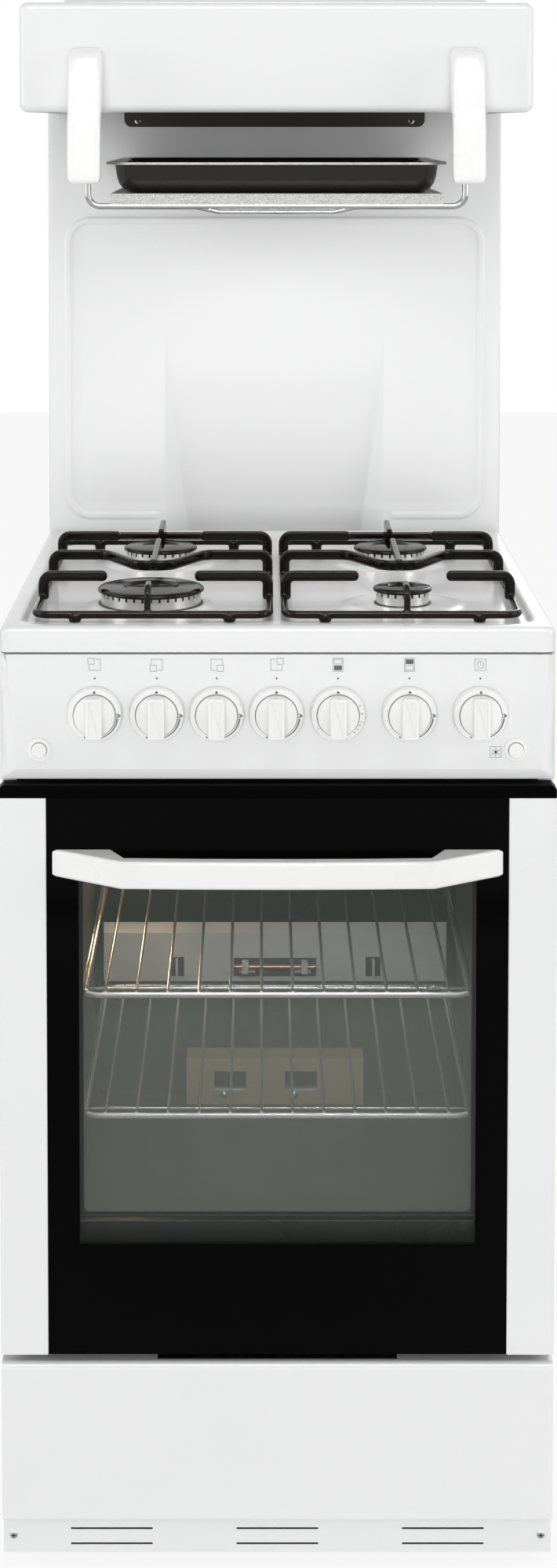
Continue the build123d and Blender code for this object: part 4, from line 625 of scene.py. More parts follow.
SILKY_LOOK = {"cloud": 10.0, "spread": 0.08, "grain": 1600.0, "relief": (0.06, 0.0001)}
SILKY_GLOSS = {"Coat Weight": 0.15}
SILKY_TONES = ((0.80, 0.80, 0.795), (0.83, 0.83, 0.825))
TRIM_TONES = ((0.0010, 0.0010, 0.0010), PRINT_BLACK)
white_plastic = coat("white_plastic", SILKY_TONES, SILKY_LOOK, rough=0.24, constants=SILKY_GLOSS)
black_trim = coat("black_trim", TRIM_TONES, MOULDED_LOOK, rough=0.30, constants={"Specular IOR Level": 0.02})
carry(white_enamel, "door_side_trims")
skin("door_top_trim", black_trim, rounding=0.0008)
skin("door_handle", white_plastic, rounding=0.0009, segments=3)


# ===== Storage drawer front =====
# White enamelled steel, rolled over at the top where fingers reach behind it.

skin("drawer_front", white_enamel, rounding=0.0009, segments=3, longer_than=0.02)


# ===== Facia =====
# The control panel is pressed from white enamelled steel, with a raised face that slopes
# back at its sides and foot. Its symbols are printed in grey and fired on.

INK_TONES = ((0.085, 0.095, 0.095), (0.12, 0.13, 0.13))
PALE_INK_TONES = ((0.24, 0.25, 0.25), (0.30, 0.31, 0.31))
INK_LOOK = {"cloud": 300.0, "spread": 0.1}
INK_THICK = 0.00015
LINE = 0.00042
DOT_SIDES = 20
ARC_STEPS = 18
facia_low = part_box("facia_panel")[0]
FACE_Y = facia_low.y
KNOB_BOXES = [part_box(f"knob_{number}") for number in range(1, 8)]
KNOB_X = [(low.x + high.x) / 2 for low, high in KNOB_BOXES]
KNOB_Z = (KNOB_BOXES[0][0].z + KNOB_BOXES[0][1].z) / 2
FACIA_FOOT = 0.0098
FACIA_FOOT_DEEP = 0.0085
FACIA_FOOT_SHARE = 0.35


class Printing:
    """Marks printed on one flat face towards the user, each a thin prism in a bmesh."""

    def __init__(self, bm, face_y):
        self.bm = bm
        self.face_y = face_y

    def shape(self, outline, ink=0):
        """Prints an outline of (x, z) points."""
        corners = [self.bm.verts.new((x, self.face_y - INK_THICK, z)) for x, z in outline]
        grown = bmesh.ops.extrude_face_region(self.bm, geom=[self.bm.faces.new(corners)], use_keep_orig=True)
        behind = [item for item in grown["geom"] if isinstance(item, bmesh.types.BMVert)]
        bmesh.ops.translate(self.bm, vec=(0, 2 * INK_THICK, 0), verts=behind)
        whole = {face for corner in corners + behind for face in corner.link_faces}
        for face in whole:
            face.material_index = ink
        bmesh.ops.recalc_face_normals(self.bm, faces=list(whole))

    def line(self, start, end, width=LINE, ink=0):
        """Prints a straight line between two points."""
        run = Vector((end[0] - start[0], end[1] - start[1])).normalized() * width / 2
        across = Vector((-run.y, run.x))
        near = Vector(start) - run
        far = Vector(end) + run
        self.shape([near + across, near - across, far - across, far + across], ink)

    def path(self, points):
        """Prints lines from point to point."""
        for start, end in zip(points, points[1:]):
            self.line(start, end)

    def box(self, x, z, half_x, half_z):
        """Prints the outline of a rectangle."""
        low_x, high_x = around(x, half_x)
        low_z, high_z = around(z, half_z)
        self.path([(low_x, low_z), (high_x, low_z), (high_x, high_z), (low_x, high_z), (low_x, low_z)])

    def dot(self, x, z, radius):
        """Prints a filled disc."""
        turns = [math.tau * side / DOT_SIDES for side in range(DOT_SIDES)]
        self.shape([(x + radius * math.cos(turn), z + radius * math.sin(turn)) for turn in turns], 1)

    def arc(self, x, z, radius, angles, widths, ink=0):
        """Prints an arc between two clock angles in degrees, tapering between two widths."""
        inner, outer = [], []
        for step in range(ARC_STEPS + 1):
            share = step / ARC_STEPS
            angle = math.radians(angles[0] + (angles[1] - angles[0]) * share)
            half = (widths[0] + (widths[1] - widths[0]) * share) / 2
            for reach, side in zip(around(radius, half), (inner, outer)):
                side.append((x + reach * math.sin(angle), z + reach * math.cos(angle)))
        self.shape(inner + outer[::-1], ink)


facia = skin("facia_panel", white_enamel, rounding=0.0012, segments=3,
             longer_than=0.012)
for vert in facia.data.vertices:
    behind_face = vert.co.y - FACE_Y
    if vert.co.z < facia_low.z + FACIA_FOOT and behind_face < FACIA_FOOT_DEEP:
        vert.co.y = FACE_Y + behind_face * FACIA_FOOT_SHARE

DOT_Z = 0.8263
DOT_RADIUS = 0.0009
ICON_Z = 0.8388
PLATE_HALF = 0.0051
RING_HALF = 0.0028
RING_GAP = PLATE_HALF - 2 * RING_HALF
RING_REACH = PLATE_HALF - RING_HALF + 0.001
PLATE_PATH = ((RING_GAP, PLATE_HALF), (-PLATE_HALF, PLATE_HALF), (-PLATE_HALF, -PLATE_HALF),
              (PLATE_HALF, -PLATE_HALF), (PLATE_HALF, RING_GAP))
STOVE_HALF = (0.0045, 0.0060)
STOVE_DOOR_HALF = (0.0035, 0.0021)
STOVE_STEP = 0.0028
HEAT_HALF = 0.0014
HEAT_WIDTH = 0.0044
CLOCK_RADIUS = 0.0031
CLOCK_MINUTES = 0.0023
CLOCK_HOURS = 0.0020
SPARK_X = 0.1972
SPARK_Z = 0.7590
SPARK_HALF = 0.0050
SPARK_REACH = 0.0036
SPARK_WIDTH = 0.0005
SPARK_DOT = 0.0011
pale_ink = coat("pale_ink", PALE_INK_TONES, INK_LOOK, rough=0.35)
ink = coat("printed_ink", INK_TONES, INK_LOOK, rough=0.35)
facia_prints = bmesh.new()
marks = Printing(facia_prints, FACE_Y)
for x in KNOB_X:
    marks.dot(x, DOT_Z, DOT_RADIUS)
for x, (side, level) in zip(KNOB_X, ((-1, 1), (-1, -1), (1, -1), (1, 1))):
    marks.box(x + side * RING_REACH, ICON_Z + level * RING_REACH, RING_HALF, RING_HALF)
    marks.path([(x + side * u, ICON_Z + level * v) for u, v in PLATE_PATH])
for x, level in ((KNOB_X[4], -1), (KNOB_X[5], 1)):
    marks.box(x, ICON_Z, *STOVE_HALF)
    marks.box(x, ICON_Z - level * STOVE_STEP, *STOVE_DOOR_HALF)
    heat_z = ICON_Z + level * STOVE_STEP
    marks.line((x - HEAT_HALF, heat_z), (x + HEAT_HALF, heat_z), HEAT_WIDTH, 1)
clock_x = KNOB_X[6]
marks.box(clock_x, ICON_Z, PLATE_HALF, PLATE_HALF)
for start in (0.0, 179.0):
    marks.arc(clock_x, ICON_Z, CLOCK_RADIUS, (start, start + 181.0), (LINE, LINE))
marks.line((clock_x, ICON_Z), (clock_x, ICON_Z + CLOCK_MINUTES))
marks.line((clock_x, ICON_Z), (clock_x + CLOCK_HOURS, ICON_Z))
marks.box(SPARK_X, SPARK_Z, SPARK_HALF, SPARK_HALF)
spark = Vector((SPARK_X, SPARK_Z))
for angle in (30, 90, 150):
    turn = math.radians(angle)
    reach = Vector((math.cos(turn), math.sin(turn))) * SPARK_REACH
    marks.line(spark - reach, spark + reach, SPARK_WIDTH, 1)
marks.dot(SPARK_X, SPARK_Z, SPARK_DOT)
piece(facia_prints, "facia_prints", [pale_ink, ink], ROOT)


# ===== Buttons =====
# Two round push buttons, for the oven light on the left and for the spark on the right,
# guided by moulded bezels that are clipped into the facia.

skin("button_bezels", white_plastic, rounding=0.0007, segments=3)
carry(white_plastic, "light_button", "ignition_button")


# ===== Knobs =====
# White moulded knobs, pressed onto the tap spindles. A raised disc with a finger bar stands
# on a broad skirt, whose marks are printed: a dot for off, and a flame from high to low. The
# oven knob has numbers instead, and the last one sets the timer.

SKIRT_BACK = -0.2715
SKIRT_RADIUS = 0.02525
DISC_RADIUS = 0.0188
BAR_HALF = 0.00735
BAR_FRONT = -0.2945
SKIRT_FACE = -0.2785
DISC_FACE = -0.2815
MARK_RADIUS = 0.0212
NUMBER_ANGLES = {"9": 65, "8": 85, "7": 105, "6": 114, "5": 125, "4": 135, "3": 161, "2": 186, "1": 237}
NUMBER_SIZE = 0.0030
FLAME = [(-0.9, -0.85), (0.0, -0.95), (0.8, -0.45), (1.35, 0.0), (0.8, 0.45), (0.0, 0.95), (-0.9, 0.85),
         (-0.15, 0.3), (0.25, 0.0), (-0.15, -0.3)]
HIGH_FLAME = (90, 0.0019)
LOW_FLAME = (204, 0.0011)
TAPER_RADIUS = 0.0210
TAPER_ANGLES = (97, 196)
TAPER_WIDTHS = (0.0014, 0.0003)
OFF_DOT = 0.0012
SKIRT_FOOT = [(-0.0004, 0.0), (0.0, 0.0004)]
SKIRT_LIP = [(-0.0009, -0.0012), (-0.0014, -0.0003), (-0.0022, 0.0)]
GROOVE = [(0.0007, 0.0), (0.0005, -0.0003), (0.0005, -0.0016), (0.0, -0.0016)]
DISC_LIP = [(0.0, -0.0009), (-0.0003, -0.0003), (-0.0010, 0.0)]
GROOVE_SHADE_WIDE = 0.00065
BAR_ROOT = 0.001
BAR_LONG = DISC_RADIUS - 0.0004
BAR_CORNER = 0.0030
BAR_STEPS = ((0.0007, 0.0006), (0.0020, 0.0), (0.0004, -0.0011))
SPINDLE = [(0.0, 0.034), (0.0036, 0.034), (0.0040, 0.0336), (0.0040, 0.0), (0.0, 0.0)]
knob_ink_and_groove_shade = coat("knob_ink_and_groove_shade", INK_TONES, INK_LOOK, rough=0.35)


def shifted(radius, rise, steps):
    """Profile points that lie (out, up) from one radius and rise."""
    return [(radius + out, rise + up) for out, up in steps]


def flame(prints, x, angle, size):
    """Prints a flame at a clock angle, with its point outwards and a notch in its foot."""
    turn = math.radians(angle)
    out = Vector((math.sin(turn), math.cos(turn)))
    along = Vector((out.y, -out.x))
    spot = Vector((x, KNOB_Z)) + out * MARK_RADIUS
    prints.shape([spot + out * (u * size) + along * (v * size) for u, v in FLAME], 1)


def numbers(bm, x):
    """Adds the thermostat's numbers, each upright when it is turned to the top."""
    for text, angle in NUMBER_ANGLES.items():
        curve = bpy.data.curves.new("number", "FONT")
        curve.body = text
        curve.size = NUMBER_SIZE
        curve.align_x = "CENTER"
        curve.align_y = "CENTER"
        curve.extrude = INK_THICK
        holder = add_object("number", curve)
        bpy.context.view_layer.update()
        flat = bpy.data.meshes.new_from_object(holder.evaluated_get(bpy.context.evaluated_depsgraph_get()))
        bpy.data.objects.remove(holder)
        turn = math.radians(angle)
        spot = Matrix.Translation((x + MARK_RADIUS * math.sin(turn), SKIRT_FACE,
                                   KNOB_Z + MARK_RADIUS * math.cos(turn)))
        flat.transform(spot @ Matrix.Rotation(turn, 4, "Y") @ Matrix.Rotation(math.pi / 2, 4, "X"))
        part = bmesh.new()
        part.from_mesh(flat)
        bmesh.ops.remove_doubles(part, verts=part.verts, dist=FINE_WELD)
        gather(bm, part, 1)


def knob(number, x):
    """Builds one knob round its spindle."""
    centre = (x, SKIRT_BACK, KNOB_Z)
    rise = SKIRT_BACK - SKIRT_FACE
    lift = SKIRT_BACK - DISC_FACE
    body = [(0.0, 0.0)] + shifted(SKIRT_RADIUS, 0.0, SKIRT_FOOT) + shifted(SKIRT_RADIUS, rise, SKIRT_LIP)
    body += shifted(DISC_RADIUS, rise, GROOVE) + shifted(DISC_RADIUS, lift, DISC_LIP) + [(0.0, lift)]
    bm = spun(body, centre, TO_USER, 72)
    # The groove round the disc takes the dark ink: painted shade in the groove, beside the printed marks.
    for face in bm.faces:
        middle = face.calc_center_median()
        away = math.hypot(middle.x - x, middle.z - KNOB_Z)
        if DISC_RADIUS < away < DISC_RADIUS + GROOVE_SHADE_WIDE and middle.y > SKIRT_FACE:
            face.material_index = 1
    bar = slab(around(x, BAR_HALF), (BAR_FRONT, DISC_FACE + BAR_ROOT), around(KNOB_Z, BAR_LONG))
    deep = [edge for edge in bar.edges if abs(edge.verts[0].co.y - edge.verts[1].co.y) > BAR_CORNER]
    round_off(bar, deep, BAR_CORNER, 4)
    front = min(bar.faces, key=lambda face: face.calc_center_median().y)
    for thickness, depth in BAR_STEPS:
        bmesh.ops.inset_region(bar, faces=[front], thickness=thickness, depth=depth)
    bmesh.ops.recalc_face_normals(bar, faces=bar.faces)
    gather(bm, bar)
    gather(bm, spun(SPINDLE, centre, (0, 1, 0), 24))
    prints = Printing(bm, SKIRT_FACE)
    prints.dot(x, KNOB_Z + MARK_RADIUS, OFF_DOT)
    if number == 5:
        numbers(bm, x)
    else:
        flame(prints, x, *HIGH_FLAME)
        flame(prints, x, *LOW_FLAME)
        prints.arc(x, KNOB_Z, TAPER_RADIUS, TAPER_ANGLES, TAPER_WIDTHS, 1)
    name = f"knob_{number}"
    piece(bm, name + "_moulding", [white_plastic, knob_ink_and_groove_shade], name, [name], crease=30.0)


for number, x in enumerate(KNOB_X, start=1):
    knob(number, x)


# ===== Gas taps, rail, timer and inlet =====
# Machined brass taps on a square steel gas rail, a clockwork timer in a moulded case, and
# the threaded brass inlet at the back.

BRASS_TONES = ((0.46, 0.32, 0.15), (0.72, 0.53, 0.27))
brass = bare_metal("brass", BRASS_TONES, rough=0.24)
carry(brass, "gas_taps", "gas_inlet")
carry(zinc_plated, "gas_manifold")
carry(black_plastic, "timer_unit")


# ===== Hob =====
# One deep pressing in white enamel: a rolled edge, a shallow well that keeps spills in, and a
# low dome round each burner.

HOB_ROLL = 0.006
HOB_SKIRT = 0.0009
HOB_CORNER = 0.008
WELL_RIM = 0.018
WELL_CORNER = 0.025
WELL_DEPTH = 0.004
WELL_SLOPE = 0.007
DOME_RADIUS = 0.061
DOME_SLOPE = 0.011
DOME_RISE = 0.0022
SHEET_STEP = 0.0024
BURNER_X = 0.1195
BURNER_DEPTHS = (0.127, 0.360)
BURNER_RADII = {(-1, 0): 0.0475, (1, 0): 0.025, (-1, 1): 0.035, (1, 1): 0.035}
SHEET_WELD = 0.00005
hob_low, hob_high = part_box("hob_tray")
hob_middle = (hob_low.y + hob_high.y) / 2
hob_half_y = (hob_high.y - hob_low.y) / 2
burner_places = {key: (key[0] * BURNER_X, hob_low.y + BURNER_DEPTHS[key[1]]) for key in BURNER_RADII}


def ease(value):
    """Smooth step from 0 to 1."""
    value = min(1.0, max(0.0, value))
    return value * value * (3 - 2 * value)


def depth_inside(u, v, half_u, half_v, corner):
    """Distance in from the edge of a rounded rectangle, less than 0 outside it."""
    over_u, over_v = abs(u) - half_u + corner, abs(v) - half_v + corner
    return corner - math.hypot(max(over_u, 0), max(over_v, 0)) - min(max(over_u, over_v), 0)


def grid_lines(low, high, step, roll):
    """Positions of grid lines, close together where the edge rolls over."""
    rolled = [roll * (1 - math.cos(math.radians(angle))) for angle in (0, 18, 36, 54, 72, 90)]
    count = round((high - low - 2 * roll) / step)
    middle = [low + roll + (high - low - 2 * roll) * index / count for index in range(1, count)]
    return [low + inset for inset in rolled] + middle + [high - inset for inset in reversed(rolled)]


def pressed_sheet(lines_u, lines_v, surface, skirt):
    """New bmesh: a sheet over a grid of lines, its edge drawn back along a vector."""
    bm = bmesh.new()
    bmesh.ops.create_grid(bm, x_segments=len(lines_u) - 1, y_segments=len(lines_v) - 1, size=1.0)
    for vert in bm.verts:
        column = round((vert.co.x + 1) / 2 * (len(lines_u) - 1))
        row = round((vert.co.y + 1) / 2 * (len(lines_v) - 1))
        vert.co = surface(lines_u[column], lines_v[row])
    rim = [edge for edge in bm.edges if edge.is_boundary]
    drawn = bmesh.ops.extrude_edge_only(bm, edges=rim)
    for item in drawn["geom"]:
        if isinstance(item, bmesh.types.BMVert):
            for axis in range(3):
                if skirt[axis] is not None:
                    item.co[axis] = skirt[axis]
    close_up(bm, SHEET_WELD)
    return bm


def hob_surface(x, y):
    """Point of the hob's upper side above one point of its plan."""
    edge = depth_inside(x, y - hob_middle, hob_high.x, hob_half_y, HOB_CORNER)
    if edge < 0:
        corner_x = math.copysign(hob_high.x - HOB_CORNER, x)
        corner_y = math.copysign(hob_half_y - HOB_CORNER, y - hob_middle) + hob_middle
        out = Vector((x - corner_x, y - corner_y)).normalized() * HOB_CORNER
        x, y, edge = corner_x + out.x, corner_y + out.y, 0.0
    over = max(0.0, HOB_ROLL - edge)
    level = hob_high.z - HOB_ROLL + math.sqrt(max(0.0, HOB_ROLL ** 2 - over ** 2))
    well = depth_inside(x, y - hob_middle, hob_high.x - WELL_RIM, hob_half_y - WELL_RIM, WELL_CORNER)
    level -= WELL_DEPTH * ease(well / WELL_SLOPE + 0.5)
    for place in burner_places.values():
        away = math.hypot(x - place[0], y - place[1])
        level += DOME_RISE * (1 - ease((away - DOME_RADIUS + DOME_SLOPE) / DOME_SLOPE))
    return Vector((x, y, level))


hob = pressed_sheet(grid_lines(hob_low.x, hob_high.x, SHEET_STEP, HOB_ROLL),
                    grid_lines(hob_low.y, hob_high.y, SHEET_STEP, HOB_ROLL),
                    hob_surface, (None, None, hob_low.z - HOB_SKIRT))
piece(hob, "hob_pressing", [white_enamel], ROOT, ["hob_tray"], crease=50.0)


# ===== Burners =====
# Cast aluminium heads with milled flame slots stand on black rings, which are painted shade
# for the dark gap under each head. The caps are steel in black enamel, each with a rounded lip
# and a ring pressed into its top.

CAP_OVERHANG = 0.003
CAP_LOW = 0.883
CAP_TALL = 0.005
ALUMINIUM_TONES = ((0.62, 0.62, 0.61), (0.74, 0.74, 0.73))
CAP_TONES = ((0.0040, 0.0018, 0.0016), (0.0075, 0.0042, 0.0038))
HOB_FLOOR = 0.869
CAP_LIP = [(-0.0012, 0.0), (-0.0003, 0.0005), (0.0, 0.0016), (-0.0004, 0.0028), (-0.0016, 0.0038),
           (-0.0050, 0.0045)]
CAP_RING = [(0.0038, -0.0001), (0.0030, 0.0), (0.0016, -0.0002), (0.0008, -0.0012), (-0.0008, -0.0014),
            (-0.0016, -0.0012)]
CAP_DISH = 0.0010
SHADE_RING_FOOT = [(-0.004, 0.0), (0.0022, 0.0)]
SHADE_RING_TOP = [(0.0022, 0.0006), (-0.0004, 0.0012), (-0.004, 0.0012)]
CAP_LOOK = {"cloud": 25.0, "spread": 0.08, "grain": 330.0, "relief": (0.16, 0.0004)}
cast_aluminium = bare_metal("cast_aluminium", ALUMINIUM_TONES, rough=0.20, cloud=16.0)
black_enamel = coat("black_enamel", CAP_TONES, CAP_LOOK, rough=0.10, constants={"Specular IOR Level": 0.20})
carry(cast_aluminium, "hob_burner_heads")
caps = bmesh.new()
under_head_shade = bmesh.new()
for key, radius in BURNER_RADII.items():
    x, y = burner_places[key]
    profile = [(0.0, 0.0)] + shifted(radius + CAP_OVERHANG, 0.0, CAP_LIP)
    profile += shifted(radius / 2, CAP_TALL, CAP_RING) + [(0.0, CAP_TALL - CAP_DISH)]
    gather(caps, spun(profile, (x, y, CAP_LOW), UPWARDS, 72))
    # Black ring under each head: painted shade for the gap beneath it.
    base = shifted(radius, 0.0, SHADE_RING_FOOT) + shifted(radius, DOME_RISE, SHADE_RING_TOP)
    base.append(base[0])
    gather(under_head_shade, spun(base, (x, y, HOB_FLOOR), UPWARDS, 64))
piece(caps, "burner_cap_set", [black_enamel], ROOT, ["hob_burner_caps"], crease=50.0)
piece(under_head_shade, "burner_shade_rings", [black_plastic], ROOT, ())


# ===== Spark electrodes =====
# White ceramic sleeves through the hob, each with a steel tip that points at its burner.

CERAMIC_TONES = ((0.66, 0.64, 0.60), (0.78, 0.76, 0.72))
SLEEVE = [(0.0, 0.0), (0.0022, 0.0), (0.0022, 0.0075), (0.0017, 0.0082), (0.0, 0.0085)]
TIP = [(0.0, 0.008), (0.0008, 0.008), (0.0008, 0.0115), (0.0, 0.012)]
SPARK_AWAY = 0.0062
ceramic = coat("ceramic", CERAMIC_TONES, MOULDED_LOOK, rough=0.30)
electrodes = bmesh.new()
for (side, row), radius in BURNER_RADII.items():
    x, y = burner_places[(side, row)]
    reach = (radius + SPARK_AWAY) / math.sqrt(2)
    foot = (x - side * reach, y + (1 - 2 * row) * reach, HOB_FLOOR)
    gather(electrodes, spun(SLEEVE, foot, UPWARDS, 20))
    gather(electrodes, spun(TIP, foot, UPWARDS, 12), 1)
piece(electrodes, "spark_electrodes", [ceramic, zinc_plated], ROOT, ["hob_electrodes"])


# ===== Pan supports =====
# Two welded frames of wire and flat bar, dipped in black enamel. The coat runs round every
# edge and fills the welds, so nothing on them is sharp.

COAT_GRAIN = 0.0011
COAT_THICK = 0.0005
COAT_PASSES = 3
RAIL_START = 0.105
RAIL_CLEAR = 0.010
RAIL_LOW = 0.871
RAIL_HIGH = 0.880
RAIL_LIFT = 0.006


def soften(node, name, material, grain, growth, passes, reshape=None):
    """Copy of a node's solid whose edges and corners all flow into soft rounds."""
    bm = solid_of(node)
    if reshape:
        reshape(bm)
    body = frame["nodes"][node]["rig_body"]
    thing = piece(bm, name, [material], body, [node], crease=180.0)
    skin_over = thing.modifiers.new("skin_over", "REMESH")
    skin_over.mode = "VOXEL"
    skin_over.voxel_size = grain
    skin_over.use_smooth_shade = True
    swell = thing.modifiers.new("swell", "DISPLACE")
    swell.mid_level = 0.0
    swell.strength = growth
    flow = thing.modifiers.new("flow", "SMOOTH")
    flow.factor = 0.5
    flow.iterations = passes


def lift_rear_rail(bm):
    """Lifts the rear wire under its bar, so that the rail stands clear of the hob on its feet."""
    bmesh.ops.bisect_plane(bm, geom=list(bm.verts) + list(bm.edges) + list(bm.faces), dist=0.000001,
                           plane_co=(0, RAIL_START, 0), plane_no=(0, 1, 0))
    rail = [vert for vert in bm.verts
            if vert.co.y > RAIL_START + RAIL_CLEAR and RAIL_LOW < vert.co.z < RAIL_HIGH]
    bmesh.ops.translate(bm, vec=(0, 0, RAIL_LIFT), verts=rail)


for side in ("left", "right"):
    soften("pan_support_" + side, "pan_frame_" + side, black_enamel,
           COAT_GRAIN, COAT_THICK, COAT_PASSES, lift_rear_rail)


# ===== Splashback =====
# A tall white enamelled pressing behind the hob. A bead runs round its field, and a wedge is
# pressed back between the rear burners, deepening down to the hob with flared sides.

BEAD_HALF_X = 0.2335
BEAD_LOW = 0.884
BEAD_HIGH = 1.223
BEAD_CORNER = 0.030
BEAD_WIDTH = 0.009
BEAD_FLANK = 0.0024
BEAD_PROUD = 0.0020
BEAD_END = 0.129
BEAD_FADE = 0.005
BEAD_FADE_TALL = 0.03
FIELD_DROP = 0.0008
FIELD_SLOPE = 0.012
WEDGE_HALF = 0.1215
WEDGE_TOP = 1.112
WEDGE_EASE = 0.10
WEDGE_DEPTH = 0.024
WEDGE_WALL = 0.0225
WEDGE_BLEND = 0.003
SPLASH_EDGE = 0.002
ROLL_ANGLES = (0, 30, 60, 90)
splash_low, splash_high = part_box("splashback")
bead_middle = (BEAD_LOW + BEAD_HIGH) / 2
bead_half_z = (BEAD_HIGH - BEAD_LOW) / 2


def wedge_run(drop):
    """How far the wedge has gone back at a drop below its top, before it is scaled."""
    return drop ** 2 / (2 * WEDGE_EASE) if drop < WEDGE_EASE else drop - WEDGE_EASE / 2


def splash_surface(x, z):
    """Point of the splashback's face at one point of its front view."""
    inside = depth_inside(x, z - bead_middle, BEAD_HALF_X, bead_half_z, BEAD_CORNER)
    bottom_run = ease((abs(x) - BEAD_END) / BEAD_FADE) if z < BEAD_LOW + BEAD_FADE_TALL else 1.0
    bead = ease(inside / BEAD_FLANK) * ease((BEAD_WIDTH - inside) / BEAD_FLANK) * bottom_run
    field = FIELD_DROP * ease((inside - BEAD_WIDTH) / FIELD_SLOPE) - BEAD_PROUD * bead
    reach = wedge_run(max(0.0, WEDGE_TOP - z)) / wedge_run(WEDGE_TOP - hob_high.z)
    floor = WEDGE_DEPTH * min(1.0, reach)
    wall = max(0.0, (WEDGE_HALF - abs(x)) * WEDGE_DEPTH / WEDGE_WALL)
    apart = abs(floor - wall)
    wedge = min(floor, wall) - max(0.0, WEDGE_BLEND - apart) ** 2 / (4 * WEDGE_BLEND)
    edge = min(x - splash_low.x, splash_high.x - x, z - splash_low.z, splash_high.z - z)
    over = max(0.0, SPLASH_EDGE - edge)
    rolled = SPLASH_EDGE - math.sqrt(max(0.0, SPLASH_EDGE ** 2 - over ** 2))
    return Vector((x, splash_low.y + max(BEAD_PROUD + field, 0.0) + max(0.0, wedge) + rolled, z))


def close_lines(low, high, bands):
    """Grid lines from low to high, fine inside the bands and coarse elsewhere."""
    rolled = [SPLASH_EDGE * (1 - math.cos(math.radians(angle))) for angle in ROLL_ANGLES]
    lines = [low + inset for inset in rolled]
    while lines[-1] < high - SPLASH_EDGE - COARSE_STEP:
        place = lines[-1]
        close = any(start - COARSE_STEP < place < end for start, end in bands)
        lines.append(place + (FINE_STEP if close else COARSE_STEP))
    return lines + [high - inset for inset in reversed(rolled)]


FINE_STEP = 0.0011
COARSE_STEP = 0.0045
BEAD_ZONE = 0.040
WEDGE_START = WEDGE_HALF + 0.002
WEDGE_STOP = WEDGE_HALF - WEDGE_WALL - 0.004
across_bands = [(-BEAD_HALF_X, -BEAD_HALF_X + BEAD_ZONE), (-WEDGE_START, -WEDGE_STOP),
                (WEDGE_STOP, WEDGE_HALF + 0.012), (BEAD_HALF_X - BEAD_ZONE, BEAD_HALF_X)]
up_bands = [(BEAD_LOW, BEAD_LOW + BEAD_ZONE), (BEAD_HIGH - BEAD_ZONE, BEAD_HIGH)]
splash = pressed_sheet(close_lines(splash_low.x, splash_high.x, across_bands),
                       close_lines(splash_low.z, splash_high.z, up_bands),
                       splash_surface, (None, splash_high.y, None))
piece(splash, "splashback_pressing", [white_enamel], ROOT, ["splashback"], crease=60.0)


# ===== Hood, flue cover and arms =====
# The hood over the grill is drawn from one sheet, with soft corners. A raised cover vents the
# flue. Two white mouldings curve down from its front and hold the grill's cradle. The hood's
# inside is coloured dark as painted shade, for the shade under the hood.

HOOD_SHADE_TONES = ((0.030, 0.030, 0.029), (0.050, 0.050, 0.048))
ARM_TONES = ((0.86, 0.86, 0.855), (0.89, 0.89, 0.885))
ARM_GRAIN = 0.0014
ARM_THICK = 0.0009
ARM_PASSES = 70
hood_inside_shade = coat("hood_inside_shade", HOOD_SHADE_TONES, DARK_ENAMEL_LOOK, rough=0.35)
hood_low, hood_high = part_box("grill_hood")
hood_middle = (hood_low + hood_high) / 2
hood = skin("grill_hood", white_enamel, SHEET_EDGE, longer_than=0.05)
hood.data.materials.append(hood_inside_shade)
# Faces that look into the hood take the dark coat: painted shade.
for face in hood.data.polygons:
    if face.normal.dot(face.center - hood_middle) < 0:
        face.material_index = 1
skin("hood_vent_cover", white_enamel, rounding=0.0012, segments=3,
     longer_than=0.05)
arm_plastic = coat("arm_plastic", ARM_TONES, SILKY_LOOK, rough=0.24, constants=SILKY_GLOSS)
soften("grill_arms", "arm_mouldings", arm_plastic, ARM_GRAIN, ARM_THICK, ARM_PASSES)


# ===== Grill cradle, plate, pan and rack =====
# A chromed wire cradle hangs from the arms. It carries an aluminised plate with a hammered
# face, the black enamelled grill pan that slides on it, and the wire rack in the pan. A folded
# steel ledge on the splashback closes the gap behind the pan.

HAMMER_TONES = ((0.68, 0.68, 0.67), (0.30, 0.30, 0.29))


def hammered_pattern(place):
    """Small round dents side by side."""
    cells = {"Vector": place, "Scale": 620.0, "Smoothness": 0.6}
    dent = place.node("TexVoronoi", {"feature": "SMOOTH_F1"}, cells, "Distance")
    cloud = place.noise(90.0)
    return {
        "Base Color": (dent * 0.7 + cloud * 0.3).mix(*HAMMER_TONES),
        "Roughness": 0.38 + 0.12 * cloud,
        "Normal": dent.bump(0.35, 0.0008),
    }


